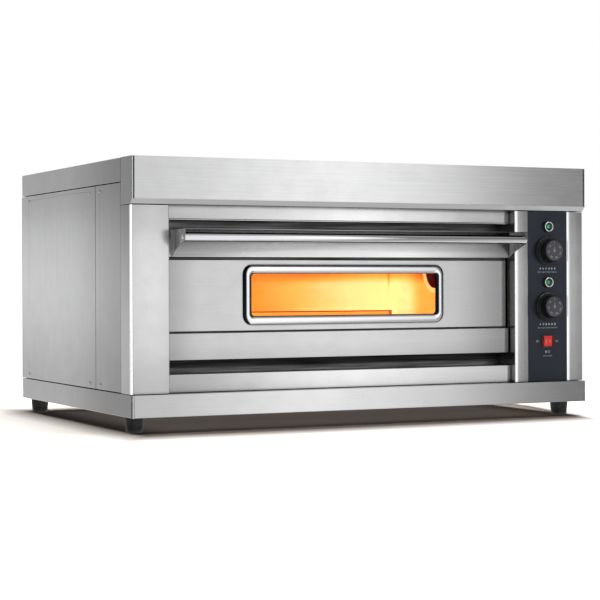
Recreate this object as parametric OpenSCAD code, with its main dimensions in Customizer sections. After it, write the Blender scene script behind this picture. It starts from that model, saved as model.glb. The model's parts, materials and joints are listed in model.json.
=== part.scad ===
// Single-deck electric deck oven with a drop-down glazed door.
// X runs left to right, Y runs front to back, Z is up. The origin is on the floor,
// under the centre of the footprint, handle and cable gland included.
// Inside the modules, depths are measured from the front face of the header.

/* [Body] */
// Width of the cabinet
body_w = 1220; // [1180:1:1320]
// Depth of the cabinet from header face to back panel
body_d = 830; // [820:1:900]
// Height of the cabinet from floor to top
body_h = 625; // [615:1:640]
// Height of the rubber feet
foot_h = 36.5; // [30:0.5:45]
// Level of the top of the base plinth
base_top = 88; // [86:1:90]
// Thickness of the stainless sheet
sheet = 1.2; // [1:0.1:1.5]
// Depth of the side returns of the header and posts
return_d = 73; // [68:1:78]
// Depth of the join between the front and rear side panels
side_join_y = 246; // [200:1:320]
// Bend radius of the upright post edges
post_r = 8; // [5:0.5:9]
// Shadow gap at the top and bottom of the posts
post_gap = 1.5; // [1:0.1:2]

/* [Front] */
// Level of the lower edge of the header bevel
header_low = 517; // [515:1:519]
// Set-back of the posts behind the header
post_y = 12.6; // [10:0.2:14]
// Width of the left post
left_post_w = 94; // [80:1:110]
// Width of the post between door and controls
inner_post_w = 36; // [30:1:40]
// Width of the control panel
panel_w = 118; // [112:1:124]
// Width of the right outer post
outer_post_w = 45; // [40:1:50]

/* [Door] */
// Gap around the door in its opening
door_gap = 3; // [2.5:0.5:4]
// Level of the door's bottom edge
door_low = 162; // [160:1:164]
// Level of the door's top edge
door_high = 461.5; // [456:0.5:466]
// Depth of the door's front face
door_y = 43; // [42:0.5:44]
// Depth of the door's back face
door_back = 93; // [92:0.5:93.5]
// Width of the window opening in the bezel
window_w = 496; // [400:2:520]
// Height of the window opening in the bezel
window_h = 98; // [80:1:104]
// Width of the polished bezel face
bezel_w = 22; // [18:1:24]
// Diameter of the handle tube
tube_d = 21; // [18:1:22]

/* [Baking chamber] */
// Depth of the back wall of the chamber
chamber_back = 634; // [560:1:660]
// Level of the chamber floor
chamber_low = 218; // [214:1:222]
// Level of the chamber ceiling
chamber_high = 442; // [430:1:446]
// Thickness of the mineral wool
wool_t = 40; // [30:1:42]
// Level of the baking surface
hearth_top = 251; // [248:1:256]
// Diameter of the heating element tube
element_d = 8; // [6.5:0.5:9]

/* [Controls] */
// Diameter of the knob skirt
knob_d = 72; // [56:1:74]
// Height of the knob above its back edge
knob_h = 32; // [24:1:34]
// Level of the upper temperature knob
upper_knob_z = 417; // [410:1:420]
// Level of the lower temperature knob
lower_knob_z = 277; // [270:1:280]
// Level of the lamp switch
switch_z = 189.7; // [180:0.5:195]

/* [Hidden] */
$fn = 48;

gland_reach = 18;
handle_reach = 48;
front_y = -(body_d + gland_reach - handle_reach) / 2;
half_w = body_w / 2;
door_left = -half_w + left_post_w;
door_right = half_w - outer_post_w - panel_w - inner_post_w;
door_mid = (door_left + door_right) / 2;
door_x0 = door_left + door_gap;
door_x1 = door_right - door_gap;
panel_x0 = door_right + inner_post_w;
control_x = panel_x0 + panel_w / 2;
panel_y = post_y + 3;
reveal = 2;
side_low = base_top + reveal;
band_low = body_h - 55;
side_high = band_low - reveal;
flange = 12;
fold_r = 2;
play = 0.5;

// Everything is drawn from the header face and then moved into the part's frame.
module oven_frame() {
    translate([0, front_y, 0]) children();
}

// A block given by its lowest and highest corners.
module block(low, high) {
    translate(low) cube(high - low);
}

// An axis along X, from one x to another.
module rod_x(x0, x1, y, z, r) {
    translate([x0, y, z]) rotate([0, 90, 0]) cylinder(r = r, h = x1 - x0);
}

// An axis along Y, from one depth to another.
module rod_y(y0, y1, x, z, r) {
    translate([x, y1, z]) rotate([90, 0, 0]) cylinder(r = r, h = y1 - y0);
}

// A folded pan with its open side towards a given direction.
module pan(low, high, t, open) {
    room_low = low + [t, t, t] - [for (i = [0:2]) open[i] < 0 ? 2 * t : 0];
    room_high = high - [t, t, t] + [for (i = [0:2]) open[i] > 0 ? 2 * t : 0];
    difference() {
        block(low, high);
        block(room_low, room_high);
    }
}

// A rectangle with round corners, centred.
module round_rect(w, h, r) {
    square([w - 2 * r, h], center = true);
    square([w, h - 2 * r], center = true);
    for (x = [-1, 1], y = [-1, 1])
        translate([x * (w / 2 - r), y * (h / 2 - r)]) circle(r = r);
}

// A flat outline drawn in X and Z and given a depth range.
module upright(y0, y1) {
    translate([0, y1, 0]) rotate([90, 0, 0]) linear_extrude(y1 - y0) children();
}

// A side outline drawn in Y and Z and given an X range.
module sideways(x0, x1) {
    translate([x0, 0, 0]) rotate([90, 0, 90]) linear_extrude(x1 - x0) children();
}

/* Cabinet */

foot_inset_x = 31.5;
foot_front_y = 73;
foot_back_y = body_d - 51;
foot_top_r = 23;
foot_low_r = 19.5;
stud_r = 4;
stud_grip = 20;
nut_h = 6.5;
nut_r = 7.5;

module at_feet() {
    for (x = [-half_w + foot_inset_x, half_w - foot_inset_x], y = [foot_front_y, foot_back_y])
        translate([x, y, 0]) children();
}

module foot() {
    difference() {
        cylinder(r1 = foot_low_r, r2 = foot_top_r, h = foot_h);
        translate([0, 0, foot_h - stud_grip]) cylinder(r = stud_r + 0.05, h = stud_grip + 1);
    }
}

module feet() {
    color([0.05, 0.05, 0.05]) oven_frame() at_feet() foot();
}

module foot_bolts() {
    color("silver") oven_frame() at_feet() {
        translate([0, 0, foot_h - stud_grip + 1]) cylinder(r = stud_r, h = stud_grip + 14);
        translate([0, 0, foot_h + sheet + 0.1]) cylinder(r = nut_r, h = nut_h, $fn = 6);
    }
}

base_lip = 60;
plinth_seam_y = 5.5;
plinth_seam_w = 4;

module base_plinth() {
    color([0.75, 0.76, 0.77]) oven_frame() difference() {
        block([-half_w, 0, foot_h], [half_w, body_d, base_top]);
        block([-half_w + sheet, sheet, foot_h + sheet], [half_w - sheet, body_d - sheet, base_top - sheet]);
        block([-half_w + base_lip, base_lip, foot_h - 1], [half_w - base_lip, body_d - base_lip, foot_h + 5]);
        at_feet() translate([0, 0, foot_h - 1]) cylinder(r = stud_r + 0.3, h = 4);
        for (side = [-1, 1]) scale([side, 1, 1]) {
            block([half_w - seam_deep, plinth_seam_y, foot_h - 1],
                [half_w + 1, plinth_seam_y + plinth_seam_w, base_top + 1]);
            block([half_w - seam_in, -1, foot_h - 1], [half_w - seam_in + 1, sheet / 2, base_top + 1]);
        }
    }
}

module bottom_cover() {
    cover_z = foot_h + sheet + 0.2;
    edge = base_lip - 14;
    color([0.62, 0.63, 0.64]) oven_frame() difference() {
        block([-half_w + edge, edge, cover_z], [half_w - edge, body_d - edge, cover_z + 1]);
        for (i = [-7:7], j = [0, 1])
            translate([i * 60, body_d * (0.35 + 0.3 * j), cover_z - 1])
                linear_extrude(4) round_rect(8, 90, 3.9);
    }
}

upright_w = 40;
upright_t = 2.5;

module rear_uprights() {
    y1 = body_d - sheet - 1;
    x1 = half_w - flange - 1;
    color([0.6, 0.6, 0.6]) oven_frame() for (side = [-1, 1]) scale([side, 1, 1]) {
        block([x1 - upright_w, y1 - upright_t, base_top], [x1, y1, body_h - sheet]);
        block([x1 - upright_t, y1 - upright_w, base_top], [x1, y1, body_h - sheet]);
    }
}

bevel = 12;
seam_in = 4.5;
seam_w = 3;
seam_deep = sheet + 0.1;

module header_profile(t) {
    polygon([
        [t, header_low + bevel + t * 0.4], [t, body_h - t], [return_d + t, body_h - t],
        [return_d + t, header_low + t], [post_y + t * 0.4, header_low + t]
    ]);
}

module header_fascia() {
    color([0.78, 0.79, 0.8]) oven_frame() difference() {
        sideways(-half_w, half_w) header_profile(0);
        sideways(-half_w + sheet, half_w - sheet) header_profile(sheet);
        block([-half_w + sheet, door_y - play, header_low - 1],
            [half_w - sheet, return_d + 1, header_low + 3]);
        for (x = [-half_w + seam_in, half_w - seam_in])
            block([x - seam_w / 2, -1, header_low + bevel], [x + seam_w / 2, seam_deep, body_h + 1]);
    }
}

module top_cover() {
    color([0.76, 0.77, 0.78]) oven_frame()
        pan([-half_w, return_d + play, band_low], [half_w, body_d, body_h], sheet, [0, 0, -1]);
}

// Plan of a post: a wide round on its left front edge and a tight fold on its right one.
module round_front(w, d, r, fold) {
    translate([r, 0]) square([w - r - fold, d]);
    translate([0, r]) square([w, d - r]);
    translate([r, fold]) square([w - r, d - fold]);
    translate([r, r]) circle(r = r);
    translate([w - fold, fold]) circle(r = fold);
}

// A post folded from sheet, open at the back, with a deep and a shallow return.
module post_channel(w, d_left, d_right) {
    d = max(d_left, d_right);
    linear_extrude(header_low - base_top - 2 * post_gap) difference() {
        round_front(w, d, post_r, fold_r);
        translate([sheet, sheet]) round_front(w - 2 * sheet, d, post_r - sheet, fold_r - sheet);
        translate([-1, d_left]) square([w / 2, d]);
        translate([w / 2, d_right]) square([w / 2 + 1, d]);
    }
}

hinge_y = 62;
hinge_z = 172;
pin_r = 5;
bush_r = 7.5;
jamb_d = 82;

module hinge_holes(r) {
    rod_x(door_left - 30, door_left + 1, hinge_y, hinge_z, r);
    rod_x(door_right - 1, door_right + 30, hinge_y, hinge_z, r);
}

module left_post() {
    color([0.7, 0.71, 0.72]) oven_frame() difference() {
        translate([-half_w, post_y, base_top + post_gap])
            post_channel(left_post_w, return_d - post_y, jamb_d);
        hinge_holes(bush_r + 1);
    }
}

module right_inner_post() {
    color([0.6, 0.61, 0.62]) oven_frame() difference() {
        translate([door_right, post_y, base_top + post_gap]) post_channel(inner_post_w, jamb_d, 40);
        hinge_holes(bush_r + 1);
    }
}

module right_outer_post() {
    color([0.6, 0.61, 0.62]) oven_frame()
        translate([half_w - outer_post_w, post_y, base_top + post_gap])
            post_channel(outer_post_w, 40, return_d - post_y);
}

screw_head_r = 4.2;
screw_head_h = 1.5;
screw_r = 2;

// Screw places on one side: depth and level of each.
side_screws = [
    for (y = [215, side_join_y + 45, body_d - 60], z = [side_low + 12, side_high - 14]) [y, z]
];

module side_panel(side, y0, y1) {
    low_x = side < 0 ? -half_w : half_w - flange;
    difference() {
        pan([low_x, y0, side_low], [low_x + flange, y1, side_high], sheet, [-side, 0, 0]);
        for (s = side_screws)
            rod_x(side * half_w - 3, side * half_w + 3, s[0], s[1], screw_r + 0.2);
    }
}

side_front_y = return_d + play;
side_back_y = body_d - sheet - 0.2;

module left_front_side_panel() {
    color([0.68, 0.69, 0.7]) oven_frame() side_panel(-1, side_front_y, side_join_y - play);
}

module left_rear_side_panel() {
    color([0.66, 0.67, 0.68]) oven_frame() side_panel(-1, side_join_y + play, side_back_y);
}

module right_front_side_panel() {
    color([0.68, 0.69, 0.7]) oven_frame() side_panel(1, side_front_y, side_join_y - play);
}

module right_rear_side_panel() {
    color([0.66, 0.67, 0.68]) oven_frame() side_panel(1, side_join_y + play, side_back_y);
}

gland_x = control_x;
gland_z = 130;
gland_thread_r = 11;
back_screws = [for (x = [-half_w + 60, 0, half_w - 60], z = [side_low + 14, side_high - 14]) [x, z]];

module back_panel() {
    slot_w = 90;
    slot_h = 7;
    color([0.66, 0.67, 0.68]) oven_frame() difference() {
        block([-half_w, body_d - sheet, side_low], [half_w, body_d, side_high]);
        upright(body_d - 4, body_d + 1)
            for (i = [-4:4], j = [0:5])
                translate([i * 120, side_high - 60 - j * 16]) round_rect(slot_w, slot_h, 3.4);
        rod_y(body_d - 4, body_d + 1, gland_x, gland_z, gland_thread_r + 0.2);
        for (s = back_screws) rod_y(body_d - 4, body_d + 1, s[0], s[1], screw_r + 0.2);
    }
}

module panel_screw() {
    cylinder(r = screw_r, h = 8);
    translate([0, 0, 8.02]) cylinder(r1 = screw_head_r, r2 = screw_head_r * 0.7, h = screw_head_h);
    translate([0, 0, 7.9]) cylinder(r = screw_r, h = 0.2);
}

module panel_screws() {
    color("silver") oven_frame() {
        for (side = [-1, 1], s = side_screws)
            translate([side * (half_w - 8), s[0], s[1]]) rotate([0, side * 90, 0]) panel_screw();
        for (s = back_screws) translate([s[0], body_d - 8, s[1]]) rotate([-90, 0, 0]) panel_screw();
    }
}

support_y = [200, 540];
support_w = 44;

module chamber_supports() {
    top = chamber_low - 2.5 - wool_t;
    color([0.6, 0.6, 0.6]) oven_frame() for (y = support_y) difference() {
        block([door_left - 20, y, base_top], [door_right + 20, y + support_w, top]);
        block([door_left - 30, y + 2, base_top + 2], [door_right + 30, y + support_w - 2, top - 2]);
        block([door_left - 30, y + 10, base_top - 1], [door_right + 30, y + support_w - 10, base_top + 3]);
    }
}

/* Mouth of the oven */

mouth_y = 95;
sill_high = 131;
sill_y = 37;
lintel_low = 482.5;
hem_r = 2.2;

module lintel_panel() {
    low = lintel_low + hem_r;
    color([0.74, 0.75, 0.76]) oven_frame() {
        block([door_left + play, door_y, low], [door_right - play, door_y + sheet, header_low + 40]);
        block([door_left + play, door_y, low + 1], [door_right - play, mouth_y - play, low + 1 + sheet]);
        rod_x(door_left + play, door_right - play, door_y + 0.6, low, hem_r);
    }
}

module sill_panel() {
    color([0.74, 0.75, 0.76]) oven_frame() {
        block([door_left + play, sill_y, base_top + post_gap],
            [door_right - play, sill_y + sheet, sill_high]);
        block([door_left + play, sill_y, sill_high - sheet], [door_right - play, mouth_y - play, sill_high]);
    }
}

chamber_side = 19;
chamber_x0 = door_left + chamber_side;
chamber_x1 = door_right - chamber_side;
liner_t = 1.5;

module mouth_frame() {
    color([0.45, 0.45, 0.46]) oven_frame() difference() {
        block([door_left + play, mouth_y, base_top + 1],
            [door_right - play, mouth_y + liner_t, header_low + 20]);
        block([chamber_x0, mouth_y - 1, chamber_low], [chamber_x1, mouth_y + 3, chamber_high]);
    }
}

module mouth_gasket() {
    grow = 7;
    y0 = door_back + 0.2;
    color([0.85, 0.84, 0.8]) oven_frame() difference() {
        block([chamber_x0 - grow, y0, chamber_low - grow], [chamber_x1 + grow, mouth_y, chamber_high + grow]);
        block([chamber_x0, y0 - 1, chamber_low], [chamber_x1, mouth_y + 1, chamber_high]);
    }
}

/* Baking chamber */

chamber_front = mouth_y + liner_t;
lamp_y = 380;
lamp_z = 371;
lamp_hole_r = 50;
lamp_ring_r = 60;
lamp_view_r = 44;
element_r = element_d / 2;
element_span = 110;
element_step = 290;
upper_element_z = chamber_high - 17;
lower_element_z = chamber_low + 14;
element_rows = [upper_element_z, lower_element_z];

module element_holes(grow) {
    for (z = element_rows, i = [-1:1], side = [-1, 1])
        rod_y(chamber_back - 5, chamber_back + 60,
            door_mid + i * element_step + side * element_span / 2, z, element_r + grow);
}

module oven_chamber() {
    t = liner_t;
    color([0.85, 0.72, 0.45]) oven_frame() difference() {
        block([chamber_x0 - t, chamber_front, chamber_low - t],
            [chamber_x1 + t, chamber_back + t, chamber_high + t]);
        block([chamber_x0, chamber_front - 1, chamber_low], [chamber_x1, chamber_back, chamber_high]);
        rod_x(chamber_x1 - 2, chamber_x1 + 5, lamp_y, lamp_z, lamp_hole_r);
        element_holes(0.5);
    }
}

module chamber_insulation() {
    grow = liner_t + play;
    full = grow + wool_t;
    y0 = chamber_front + 1;
    color([0.85, 0.82, 0.7]) oven_frame() difference() {
        block([chamber_x0 - full, y0, chamber_low - full],
            [chamber_x1 + full, chamber_back + full, chamber_high + full]);
        block([chamber_x0 - grow, y0 - 1, chamber_low - grow],
            [chamber_x1 + grow, chamber_back + grow, chamber_high + grow]);
        rod_x(chamber_x1, chamber_x1 + full + 1, lamp_y, lamp_z, lamp_hole_r + 4);
        element_holes(1);
    }
}

hearth_t = 6;
hearth_edge = 11;

module hearth_plate() {
    low = [chamber_x0 + 10, chamber_front + 14, hearth_top - hearth_t];
    high = [chamber_x1 - 10, chamber_back - 31, hearth_top];
    color([0.3, 0.29, 0.28]) oven_frame() {
        block(low, high);
        block([low[0], high[1] - 4, hearth_top - 1], [high[0], high[1], hearth_top + hearth_edge]);
    }
}

module hearth_rails() {
    y0 = chamber_front + 8;
    y1 = chamber_back - 30;
    top = hearth_top - hearth_t;
    color([0.5, 0.5, 0.5]) oven_frame() for (side = [0, 1]) {
        x = side ? chamber_x1 - 20 : chamber_x0;
        wall = side ? chamber_x1 - 2 : chamber_x0;
        block([x, y0, top - 2], [x + 20, y1, top]);
        block([wall, y0, top - 20], [wall + 2, y1, top]);
    }
}

element_front = chamber_front + 80;
element_back = chamber_back + 70;

// One U-shaped element lying flat, its bend towards the door.
module heating_element(x, z) {
    half = element_span / 2;
    for (side = [-1, 1]) {
        rod_y(element_front, element_back, x + side * half, z, element_r);
        rod_y(element_back, element_back + 14, x + side * half, z, 2);
    }
    translate([x, element_front, z]) rotate([0, 0, 180])
        rotate_extrude(angle = 180) translate([half, 0]) circle(r = element_r);
}

module upper_heating_elements() {
    color([0.35, 0.2, 0.15]) oven_frame()
        for (i = [-1:1]) heating_element(door_mid + i * element_step, upper_element_z);
}

module lower_heating_elements() {
    color([0.35, 0.2, 0.15]) oven_frame()
        for (i = [-1:1]) heating_element(door_mid + i * element_step, lower_element_z);
}

module element_clip(x, y, z, wall_z) {
    low = min(z - 7, wall_z);
    high = max(z + 7, wall_z);
    difference() {
        block([x - 7, y, low], [x + 7, y + 3, high]);
        rod_y(y - 1, y + 4, x, z, element_r + 0.1);
    }
}

module element_clips() {
    color("silver") oven_frame()
        for (i = [-1:1], side = [-1, 1], y = [chamber_front + 120, chamber_back - 90]) {
            x = door_mid + i * element_step + side * element_span / 2;
            element_clip(x, y, upper_element_z, chamber_high);
            element_clip(x, y, lower_element_z, chamber_low);
        }
}

module lamp_ring() {
    color("silver") oven_frame() difference() {
        rod_x(chamber_x1 - 4, chamber_x1, lamp_y, lamp_z, lamp_ring_r);
        rod_x(chamber_x1 - 5, chamber_x1 + 1, lamp_y, lamp_z, lamp_view_r);
    }
}

module lamp_glass() {
    color([0.5, 0.1, 0.05, 0.6]) oven_frame()
        rod_x(chamber_x1 + 0.1, chamber_x1 + 5, lamp_y, lamp_z, lamp_hole_r - 0.5);
}

module lamp_housing() {
    x0 = chamber_x1 + 6;
    x1 = chamber_x1 + 38;
    color("silver") oven_frame() difference() {
        rod_x(x0, x1, lamp_y, lamp_z, lamp_hole_r);
        rod_x(x0 - 1, x1 - 1.5, lamp_y, lamp_z, lamp_hole_r - 1.5);
    }
}

module lamp_bulb() {
    socket_r = 7;
    bulb_r = 11;
    color([1, 0.9, 0.6]) oven_frame()
        translate([chamber_x1 + 36.4, lamp_y, lamp_z]) rotate([0, -90, 0]) {
            cylinder(r = socket_r, h = 10);
            translate([0, 0, 10]) cylinder(r1 = socket_r, r2 = bulb_r, h = 5);
            translate([0, 0, 15]) cylinder(r = bulb_r, h = 6);
            translate([0, 0, 21]) cylinder(r1 = bulb_r, r2 = socket_r, h = 5);
        }
}

/* Door */

bracket_t = 5;
door_plate_y = 57;
window_y = 50;
window_z = 311;
window_x = door_mid + 4.5;
aperture_w = window_w + 20;
aperture_h = window_h + 20;
pane_w = aperture_w + 20;
tunnel_w = window_w + 60;
inner_pane_w = tunnel_w + 20;
pane_h = aperture_h + 8;
pane_t = 4;
lower_panel_high = 224;
window_panel_low = 228;
window_panel_high = 392;
hood_low = 399;
hood_y = 35;
tube_r = tube_d / 2;
tube_y = -handle_reach + tube_r + 1;
tube_z = 443;

module hinge_brackets() {
    y0 = hinge_y - 24;
    color([0.5, 0.5, 0.5]) oven_frame() difference() {
        for (x = [door_left - sheet - 0.2 - bracket_t, door_right + sheet + 0.2])
            block([x, y0, hinge_z - 32], [x + bracket_t, y0 + 52, hinge_z + 32]);
        hinge_holes(bush_r + 0.05);
    }
}

module hinge_bushes() {
    grip = sheet + 0.2 + bracket_t;
    color([0.7, 0.55, 0.25]) oven_frame() difference() {
        union() {
            rod_x(door_left - grip, door_left + 0.5, hinge_y, hinge_z, bush_r);
            rod_x(door_left - grip - 2.5, door_left - grip, hinge_y, hinge_z, bush_r + 3);
            rod_x(door_right - 0.5, door_right + grip, hinge_y, hinge_z, bush_r);
            rod_x(door_right + grip, door_right + grip + 2.5, hinge_y, hinge_z, bush_r + 3);
        }
        hinge_holes(pin_r + 0.05);
    }
}

module hinge_pins() {
    in = sheet + 0.2;
    color("silver") oven_frame() {
        rod_x(door_left - 14, door_x0 + in + 1, hinge_y, hinge_z, pin_r);
        rod_x(door_x1 - in - 1, door_right + 14, hinge_y, hinge_z, pin_r);
        block([door_x0 + in, hinge_y - 2, hinge_z - 6], [door_x0 + in + 3, hinge_y + 26, hinge_z + 40]);
        block([door_x1 - in - 3, hinge_y - 2, hinge_z - 6], [door_x1 - in, hinge_y + 26, hinge_z + 40]);
    }
}

module aperture(y0, y1, w, h) {
    translate([window_x, 0, window_z]) upright(y0, y1) square([w, h], center = true);
}

module door_lower_panel() {
    color([0.74, 0.75, 0.76]) oven_frame()
        pan([door_x0, door_y, door_low], [door_x1, door_plate_y, lower_panel_high], sheet, [0, 1, 0]);
}

module door_window_panel() {
    color([0.74, 0.75, 0.76]) oven_frame() difference() {
        pan([door_x0 + 4, window_y, window_panel_low], [door_x1 - 4, door_plate_y, window_panel_high],
            sheet, [0, 1, 0]);
        aperture(window_y - 1, door_plate_y, aperture_w, aperture_h);
    }
}

gusset_t = 2;
gusset_x0 = door_x0 + 10;
gusset_x1 = door_x1 - gusset_t;

// Side outline of the plates that close the ends of the hood and carry the tube.
module gusset_profile() {
    polygon([
        [hood_y, hood_low], [hood_y, door_high], [-handle_reach, door_high],
        [-handle_reach, door_high - 20], [-handle_reach + 8, door_high - 28], [12, hood_low + 15]
    ]);
}

// The hood is open below: a face, a top plate and two end gussets.
module door_hood() {
    color([0.7, 0.71, 0.72]) oven_frame() difference() {
        union() {
            pan([door_x0, hood_y, hood_low], [door_x1, door_plate_y, door_high], sheet, [0, 1, 0]);
            block([gusset_x0, -handle_reach, door_high - sheet], [door_x1, hood_y + 1, door_high]);
            for (x = [gusset_x0, gusset_x1]) sideways(x, x + gusset_t) gusset_profile();
        }
        rod_x(gusset_x0 - 1, door_x1 + 1, tube_y, tube_z, handle_bolt_r + 0.1);
    }
}

module door_core_plate() {
    color([0.4, 0.4, 0.4]) oven_frame() difference() {
        block([door_x0 + 4, door_plate_y, door_low + 1], [door_x1 - 4, door_plate_y + 1, door_high - 1]);
        aperture(door_plate_y - 1, door_plate_y + 2, aperture_w, aperture_h);
    }
}

module door_liner() {
    color([0.55, 0.55, 0.56]) oven_frame() difference() {
        pan([door_x0, door_plate_y + 1, door_low], [door_x1, door_back, door_high], sheet, [0, -1, 0]);
        aperture(door_back - 3, door_back + 1, tunnel_w, aperture_h);
        rod_x(door_x0 - 1, door_x0 + 3, hinge_y, hinge_z, pin_r + 0.2);
        rod_x(door_x1 - 3, door_x1 + 1, hinge_y, hinge_z, pin_r + 0.2);
    }
}

module door_insulation() {
    edge = sheet + play;
    y0 = door_plate_y + 1 + play;
    y1 = door_back - edge;
    color([0.85, 0.82, 0.7]) oven_frame() difference() {
        block([door_x0 + edge, y0, door_low + edge], [door_x1 - edge, y1, door_high - edge]);
        aperture(y0 - 1, y1 + 1, inner_pane_w + 2, pane_h + 2);
        for (x = [door_x0, door_x1 - 8])
            block([x, y0 - 1, door_low], [x + 8, y1 + 1, hinge_z + 44]);
    }
}

module window_tunnel() {
    y1 = door_back - sheet - pane_t - 0.4;
    color([0.6, 0.6, 0.6]) oven_frame() difference() {
        aperture(door_plate_y + 1.2, y1, tunnel_w, aperture_h);
        aperture(door_plate_y, y1 + 1, tunnel_w - 2 * sheet, aperture_h - 2 * sheet);
    }
}

module outer_glass() {
    y0 = window_y + sheet + 0.1;
    color([0.9, 0.7, 0.4, 0.4]) oven_frame() aperture(y0, y0 + pane_t, pane_w, pane_h);
}

module inner_glass() {
    y1 = door_back - sheet - 0.2;
    color([0.9, 0.7, 0.4, 0.4]) oven_frame() aperture(y1 - pane_t, y1, inner_pane_w, pane_h);
}

module window_bezel() {
    outer_w = window_w + 2 * bezel_w;
    outer_h = window_h + 2 * bezel_w;
    color([0.85, 0.86, 0.88]) oven_frame() translate([window_x, 0, window_z])
        upright(window_y - 8, window_y) difference() {
            round_rect(outer_w, outer_h, 23);
            round_rect(window_w, window_h, 8);
        }
}

tube_x0 = gusset_x0 + gusset_t;
tube_x1 = gusset_x1;
tube_wall = 1.5;
handle_bolt_r = 3;

module handle_tube() {
    color([0.85, 0.86, 0.88]) oven_frame() difference() {
        rod_x(tube_x0, tube_x1, tube_y, tube_z, tube_r);
        rod_x(tube_x0 - 1, tube_x1 + 1, tube_y, tube_z, tube_r - tube_wall);
    }
}

// A plug in each end of the tube, held through the gusset by a round-headed bolt.
module handle_ends() {
    plug = 14;
    head_r = 6.5;
    head_h = 2.5;
    color([0.8, 0.81, 0.83]) oven_frame() {
        rod_x(tube_x0, tube_x0 + plug, tube_y, tube_z, tube_r - tube_wall);
        rod_x(tube_x0 - gusset_t, tube_x0, tube_y, tube_z, handle_bolt_r);
        rod_x(tube_x0 - gusset_t - head_h, tube_x0 - gusset_t, tube_y, tube_z, head_r);
        rod_x(tube_x1 - plug, tube_x1, tube_y, tube_z, tube_r - tube_wall);
        rod_x(tube_x1, tube_x1 + gusset_t, tube_y, tube_z, handle_bolt_r);
        rod_x(tube_x1 + gusset_t, tube_x1 + gusset_t + head_h, tube_y, tube_z, head_r);
    }
}

/* Controls */

upper_lamp_z = upper_knob_z + 60.7;
lower_lamp_z = lower_knob_z + 61;
lamp_zs = [upper_lamp_z, lower_lamp_z];
neck_r = 5;
shaft_r = 3;
panel_t = 1.5;
lamp_body_r = 8;
switch_w = 31.6;
switch_h = 30;
pivot_r = 1.5;
pivot_l = 28.6;

module control_panel() {
    y1 = panel_y + panel_t;
    color([0.17, 0.19, 0.22]) oven_frame() difference() {
        block([panel_x0 + play, panel_y, base_top + play],
            [panel_x0 + panel_w - play, y1, header_low - play]);
        for (z = lamp_zs) rod_y(panel_y - 1, y1 + 1, control_x, z, lamp_body_r + 0.2);
        for (z = [upper_knob_z, lower_knob_z]) rod_y(panel_y - 1, y1 + 1, control_x, z, neck_r + 0.2);
        translate([control_x, 0, switch_z]) upright(panel_y - 1, y1 + 1)
            square([switch_w + 0.4, switch_h + 0.4], center = true);
    }
}

module thermostat(z) {
    y0 = panel_y + panel_t;
    difference() {
        union() {
            rod_y(panel_y - 5.5, y0 + 7, control_x, z, neck_r);
            translate([control_x, panel_y - 0.2, z]) rotate([90, 0, 0]) cylinder(r = 8, h = 3, $fn = 6);
            block([control_x - 25, y0 + 7, z - 22], [control_x + 25, y0 + 46, z + 22]);
            block([control_x - 18, y0 + 46, z - 12], [control_x - 12, y0 + 54, z + 12]);
            block([control_x + 12, y0 + 46, z - 12], [control_x + 18, y0 + 54, z + 12]);
        }
        rod_y(panel_y - 7, y0 + 30, control_x, z, shaft_r + 0.05);
    }
}

module upper_thermostat() {
    color([0.75, 0.74, 0.68]) oven_frame() thermostat(upper_knob_z);
}

module lower_thermostat() {
    color([0.75, 0.74, 0.68]) oven_frame() thermostat(lower_knob_z);
}

knob_back = panel_y - 2;
nose_r = knob_d / 2 - 8.5;

module knob_shaft(z) {
    rod_y(knob_back - 22, panel_y + panel_t + 29, control_x, z, shaft_r);
}

module knob(z) {
    translate([control_x, knob_back, z]) rotate([90, 0, 0]) difference() {
        union() {
            cylinder(r = knob_d / 2, h = 4);
            translate([0, 0, 3]) cylinder(r1 = nose_r + 3.5, r2 = nose_r, h = knob_h - 3);
        }
        translate([0, 0, -1]) cylinder(r = 14, h = 9);
        translate([0, 0, -1]) cylinder(r = shaft_r + 0.01, h = 24);
    }
}

module upper_knob() {
    color([0.04, 0.04, 0.05]) oven_frame() knob(upper_knob_z);
}

module lower_knob() {
    color([0.04, 0.04, 0.05]) oven_frame() knob(lower_knob_z);
}

module upper_knob_shaft() {
    color("silver") oven_frame() knob_shaft(upper_knob_z);
}

module lower_knob_shaft() {
    color("silver") oven_frame() knob_shaft(lower_knob_z);
}

module pilot_lamps() {
    color([0.05, 0.35, 0.2]) oven_frame() for (z = lamp_zs) {
        rod_y(panel_y - 10, panel_y, control_x, z, 13);
        translate([control_x, panel_y - 6, z]) sphere(r = 9);
        rod_y(panel_y, panel_y + 30, control_x, z, lamp_body_r);
        rod_y(panel_y + panel_t, panel_y + panel_t + 3, control_x, z, 12);
    }
}

rocker_tilt = 10;
rocker_y = panel_y + 4.4;

module switch_housing() {
    color([0.06, 0.06, 0.06]) oven_frame() translate([control_x, 0, switch_z]) difference() {
        union() {
            upright(panel_y - 2.2, panel_y) round_rect(37, 33, 2);
            upright(panel_y, panel_y + 28) square([switch_w, switch_h], center = true);
        }
        upright(panel_y - 3, panel_y + 12) square([30.4, 26.6], center = true);
        translate([0, rocker_y, -pivot_l / 2 - 0.1]) cylinder(r = pivot_r + 0.05, h = pivot_l + 0.2);
    }
}

// The rocker rests with its right half pressed in.
module switch_rocker() {
    color([0.8, 0.1, 0.08]) oven_frame()
        translate([control_x, rocker_y, switch_z]) rotate([0, 0, rocker_tilt]) {
            translate([0, 0, -13]) linear_extrude(26)
                polygon([[-13.9, -7], [0, -5.2], [13.9, -7], [13.9, 2], [8, 4], [-8, 4], [-13.9, 2]]);
            translate([0, 0, -pivot_l / 2]) cylinder(r = pivot_r, h = pivot_l);
        }
}

/* Electrics behind the panel */

bay_x0 = chamber_x1 + liner_t + play + wool_t + 6;

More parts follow.
